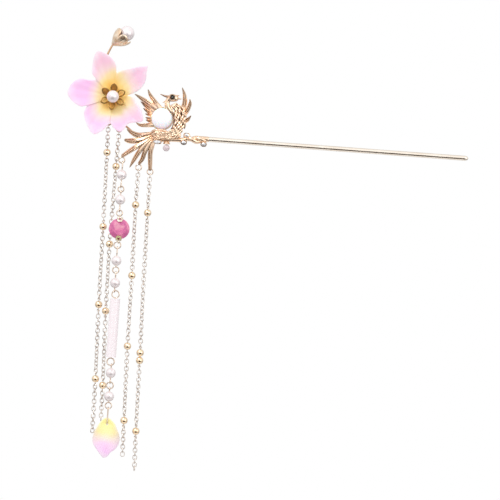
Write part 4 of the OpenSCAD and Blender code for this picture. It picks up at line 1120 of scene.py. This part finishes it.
clear = stone_look("clear_stone", 0.6, (0.35, (0.66, 0.68, 0.72)), (0.55, (0.97, 0.97, 1.0)),
                   0.4, 0.01, 0.6, Roughness=0.03, IOR=1.65, Metallic=0.55, Coat_Weight=1.0,
                   Coat_Roughness=0.02)
eye = stone_look("eye_stone", 0.5, (0.35, (0.02, 0.03, 0.03)), (0.65, (0.06, 0.07, 0.06)),
                 0.4, 0.004, 0.4, Roughness=0.05, IOR=1.6, Coat_Weight=1.0, Coat_Roughness=0.02)
cup_bead = stone_look("cup_bead", 1.5, (0.35, (0.90, 0.74, 0.77)), (0.65, (0.98, 0.88, 0.90)),
                      0.6, 0.004, 0.3, Roughness=0.1, Transmission_Weight=0.4, IOR=1.5)
pearl = pearl_look()
# Materials of the kept CAD nodes, by how their names start; the longest match counts
looks = {"hair_stick": stick_gold, "opal": opal_look(), "eye_stone": eye, "branch_stone": clear,
         "cup_bead": cup_bead, "flower_pin": wire_gold, "stamen_pearl": pearl, "bud_pearl": pearl,
         "string_ring": ring_gold, "pearl_pin": ring_gold, "pearl": pearl, "crystal_rod": crystal_look(),
         "rod_pin": ring_gold, "drop_bail": ring_gold, "chain_ring": ring_gold, "chain_c": chain_gold,
         "chain_d": chain_gold, "gold_beads": bead_gold}
for name, node in frame["nodes"].items():
    if node.hide_render:
        continue
    look = max((key for key in looks if name.startswith(key)), key=len)
    node.data.materials.clear()
    node.data.materials.append(looks[look])

# Light, floor and camera

# Metres; the floor is behind and low, clear of the dark patch that the metal reflects
FLOOR_AT, FLOOR_R = (0.02, 0.1, -0.35), 0.3
LIGHTS_TOWARD = (0, 0, -0.04)


def floor():
    bm = bmesh.new()
    bmesh.ops.create_circle(bm, cap_ends=True, radius=FLOOR_R, segments=96)
    mesh = bpy.data.meshes.new("floor")
    bm.to_mesh(mesh)
    bm.free()
    o = place("floor", mesh)
    o.location = FLOOR_AT
    look = Look("floor", Roughness=0.7)
    look.colour(look.ramp(look.noise(60), (0.3, (0.80, 0.79, 0.78)), (0.7, (0.84, 0.83, 0.82))))
    mesh.materials.append(look.material)


def area_light(name, at, size, power):
    data = bpy.data.lights.new(name, "AREA")
    data.shape = "DISK"
    data.size = size
    data.energy = power
    o = place(name, data)
    o.location = at
    o.rotation_euler = (Vector(LIGHTS_TOWARD) - Vector(at)).to_track_quat("-Z", "Y").to_euler()


# Brightness from straight down to straight up, and the dark patch with its angles in degrees
SKY = [(0.0, 0.5), (0.3, 0.68), (0.42, 0.8), (0.5, 1.02), (0.6, 1.15), (1.0, 1.1)]
DARK = (0.06, 0.045, 0.035)
DARK_TOWARD = (0.08, -0.82, -0.57)
DARK_FULL, DARK_END = 26, 38


def world():
    """White to the camera. All else sees a studio, darkest below and toward the back, with a round
    dark patch in front and below."""
    w = bpy.data.worlds.new("studio")
    bpy.context.scene.world = w
    w.use_nodes = True
    w.node_tree.nodes.clear()
    sky = Nodes(w.node_tree)
    way = sky.node("ShaderNodeTexCoord").outputs["Generated"]
    light = sky.grey_ramp(sky.fit(sky.axes(way)["Z"], -1, 1), *SKY)
    patch = sky.fit(sky.vector("DOT_PRODUCT", way, Vector(DARK_TOWARD).normalized()),
                    math.cos(math.radians(DARK_END)), math.cos(math.radians(DARK_FULL)),
                    interpolation_type="SMOOTHSTEP")
    light = sky.mix(patch, light, DARK)
    forward = sky.vector("DOT_PRODUCT", way, (0, -1, 0))
    light = sky.vector("SCALE", light, sky.fit(forward, -0.4, 0.7, 0.7, 1.0))
    seen = sky.fill(sky.node("ShaderNodeBackground"), Color=(1, 1, 1, 1))
    lit = sky.fill(sky.node("ShaderNodeBackground"), Color=light)
    mix = sky.node("ShaderNodeMixShader")
    sky.put(sky.node("ShaderNodeLightPath").outputs["Is Camera Ray"], mix.inputs[0])
    sky.put(lit.outputs[0], mix.inputs[1])
    sky.put(seen.outputs[0], mix.inputs[2])
    sky.fill(sky.node("ShaderNodeOutputWorld"), Surface=mix.outputs[0])


LENS, SENSOR, FIELD = 350, 36, 0.2
VIEW_CENTRE = (19.6, 0, -42.9)
VIEW_RIGHT = (0.9973, 0, 0.0732)


def camera():
    """Long lens from the front, tilted as the photograph is, that sees FIELD metres across."""
    data = bpy.data.cameras.new("camera")
    data.lens = LENS
    data.sensor_width = SENSOR
    data.clip_start = 0.01
    right, back = Vector(VIEW_RIGHT).normalized(), Vector((0, -1, 0))
    at = Matrix.Translation(Vector(VIEW_CENTRE) * MM + back * FIELD * LENS / SENSOR)
    o = place("camera", data)
    o.matrix_world = at @ Matrix((right, back.cross(right), back)).transposed().to_4x4()
    bpy.context.scene.camera = o


floor()
world()
camera()
area_light("key", (-0.35, -0.55, 0.55), size=0.3, power=2.2)
area_light("fill", (0.5, -0.6, 0.1), size=0.5, power=0.8)
bpy.context.scene.view_settings.view_transform = "Standard"
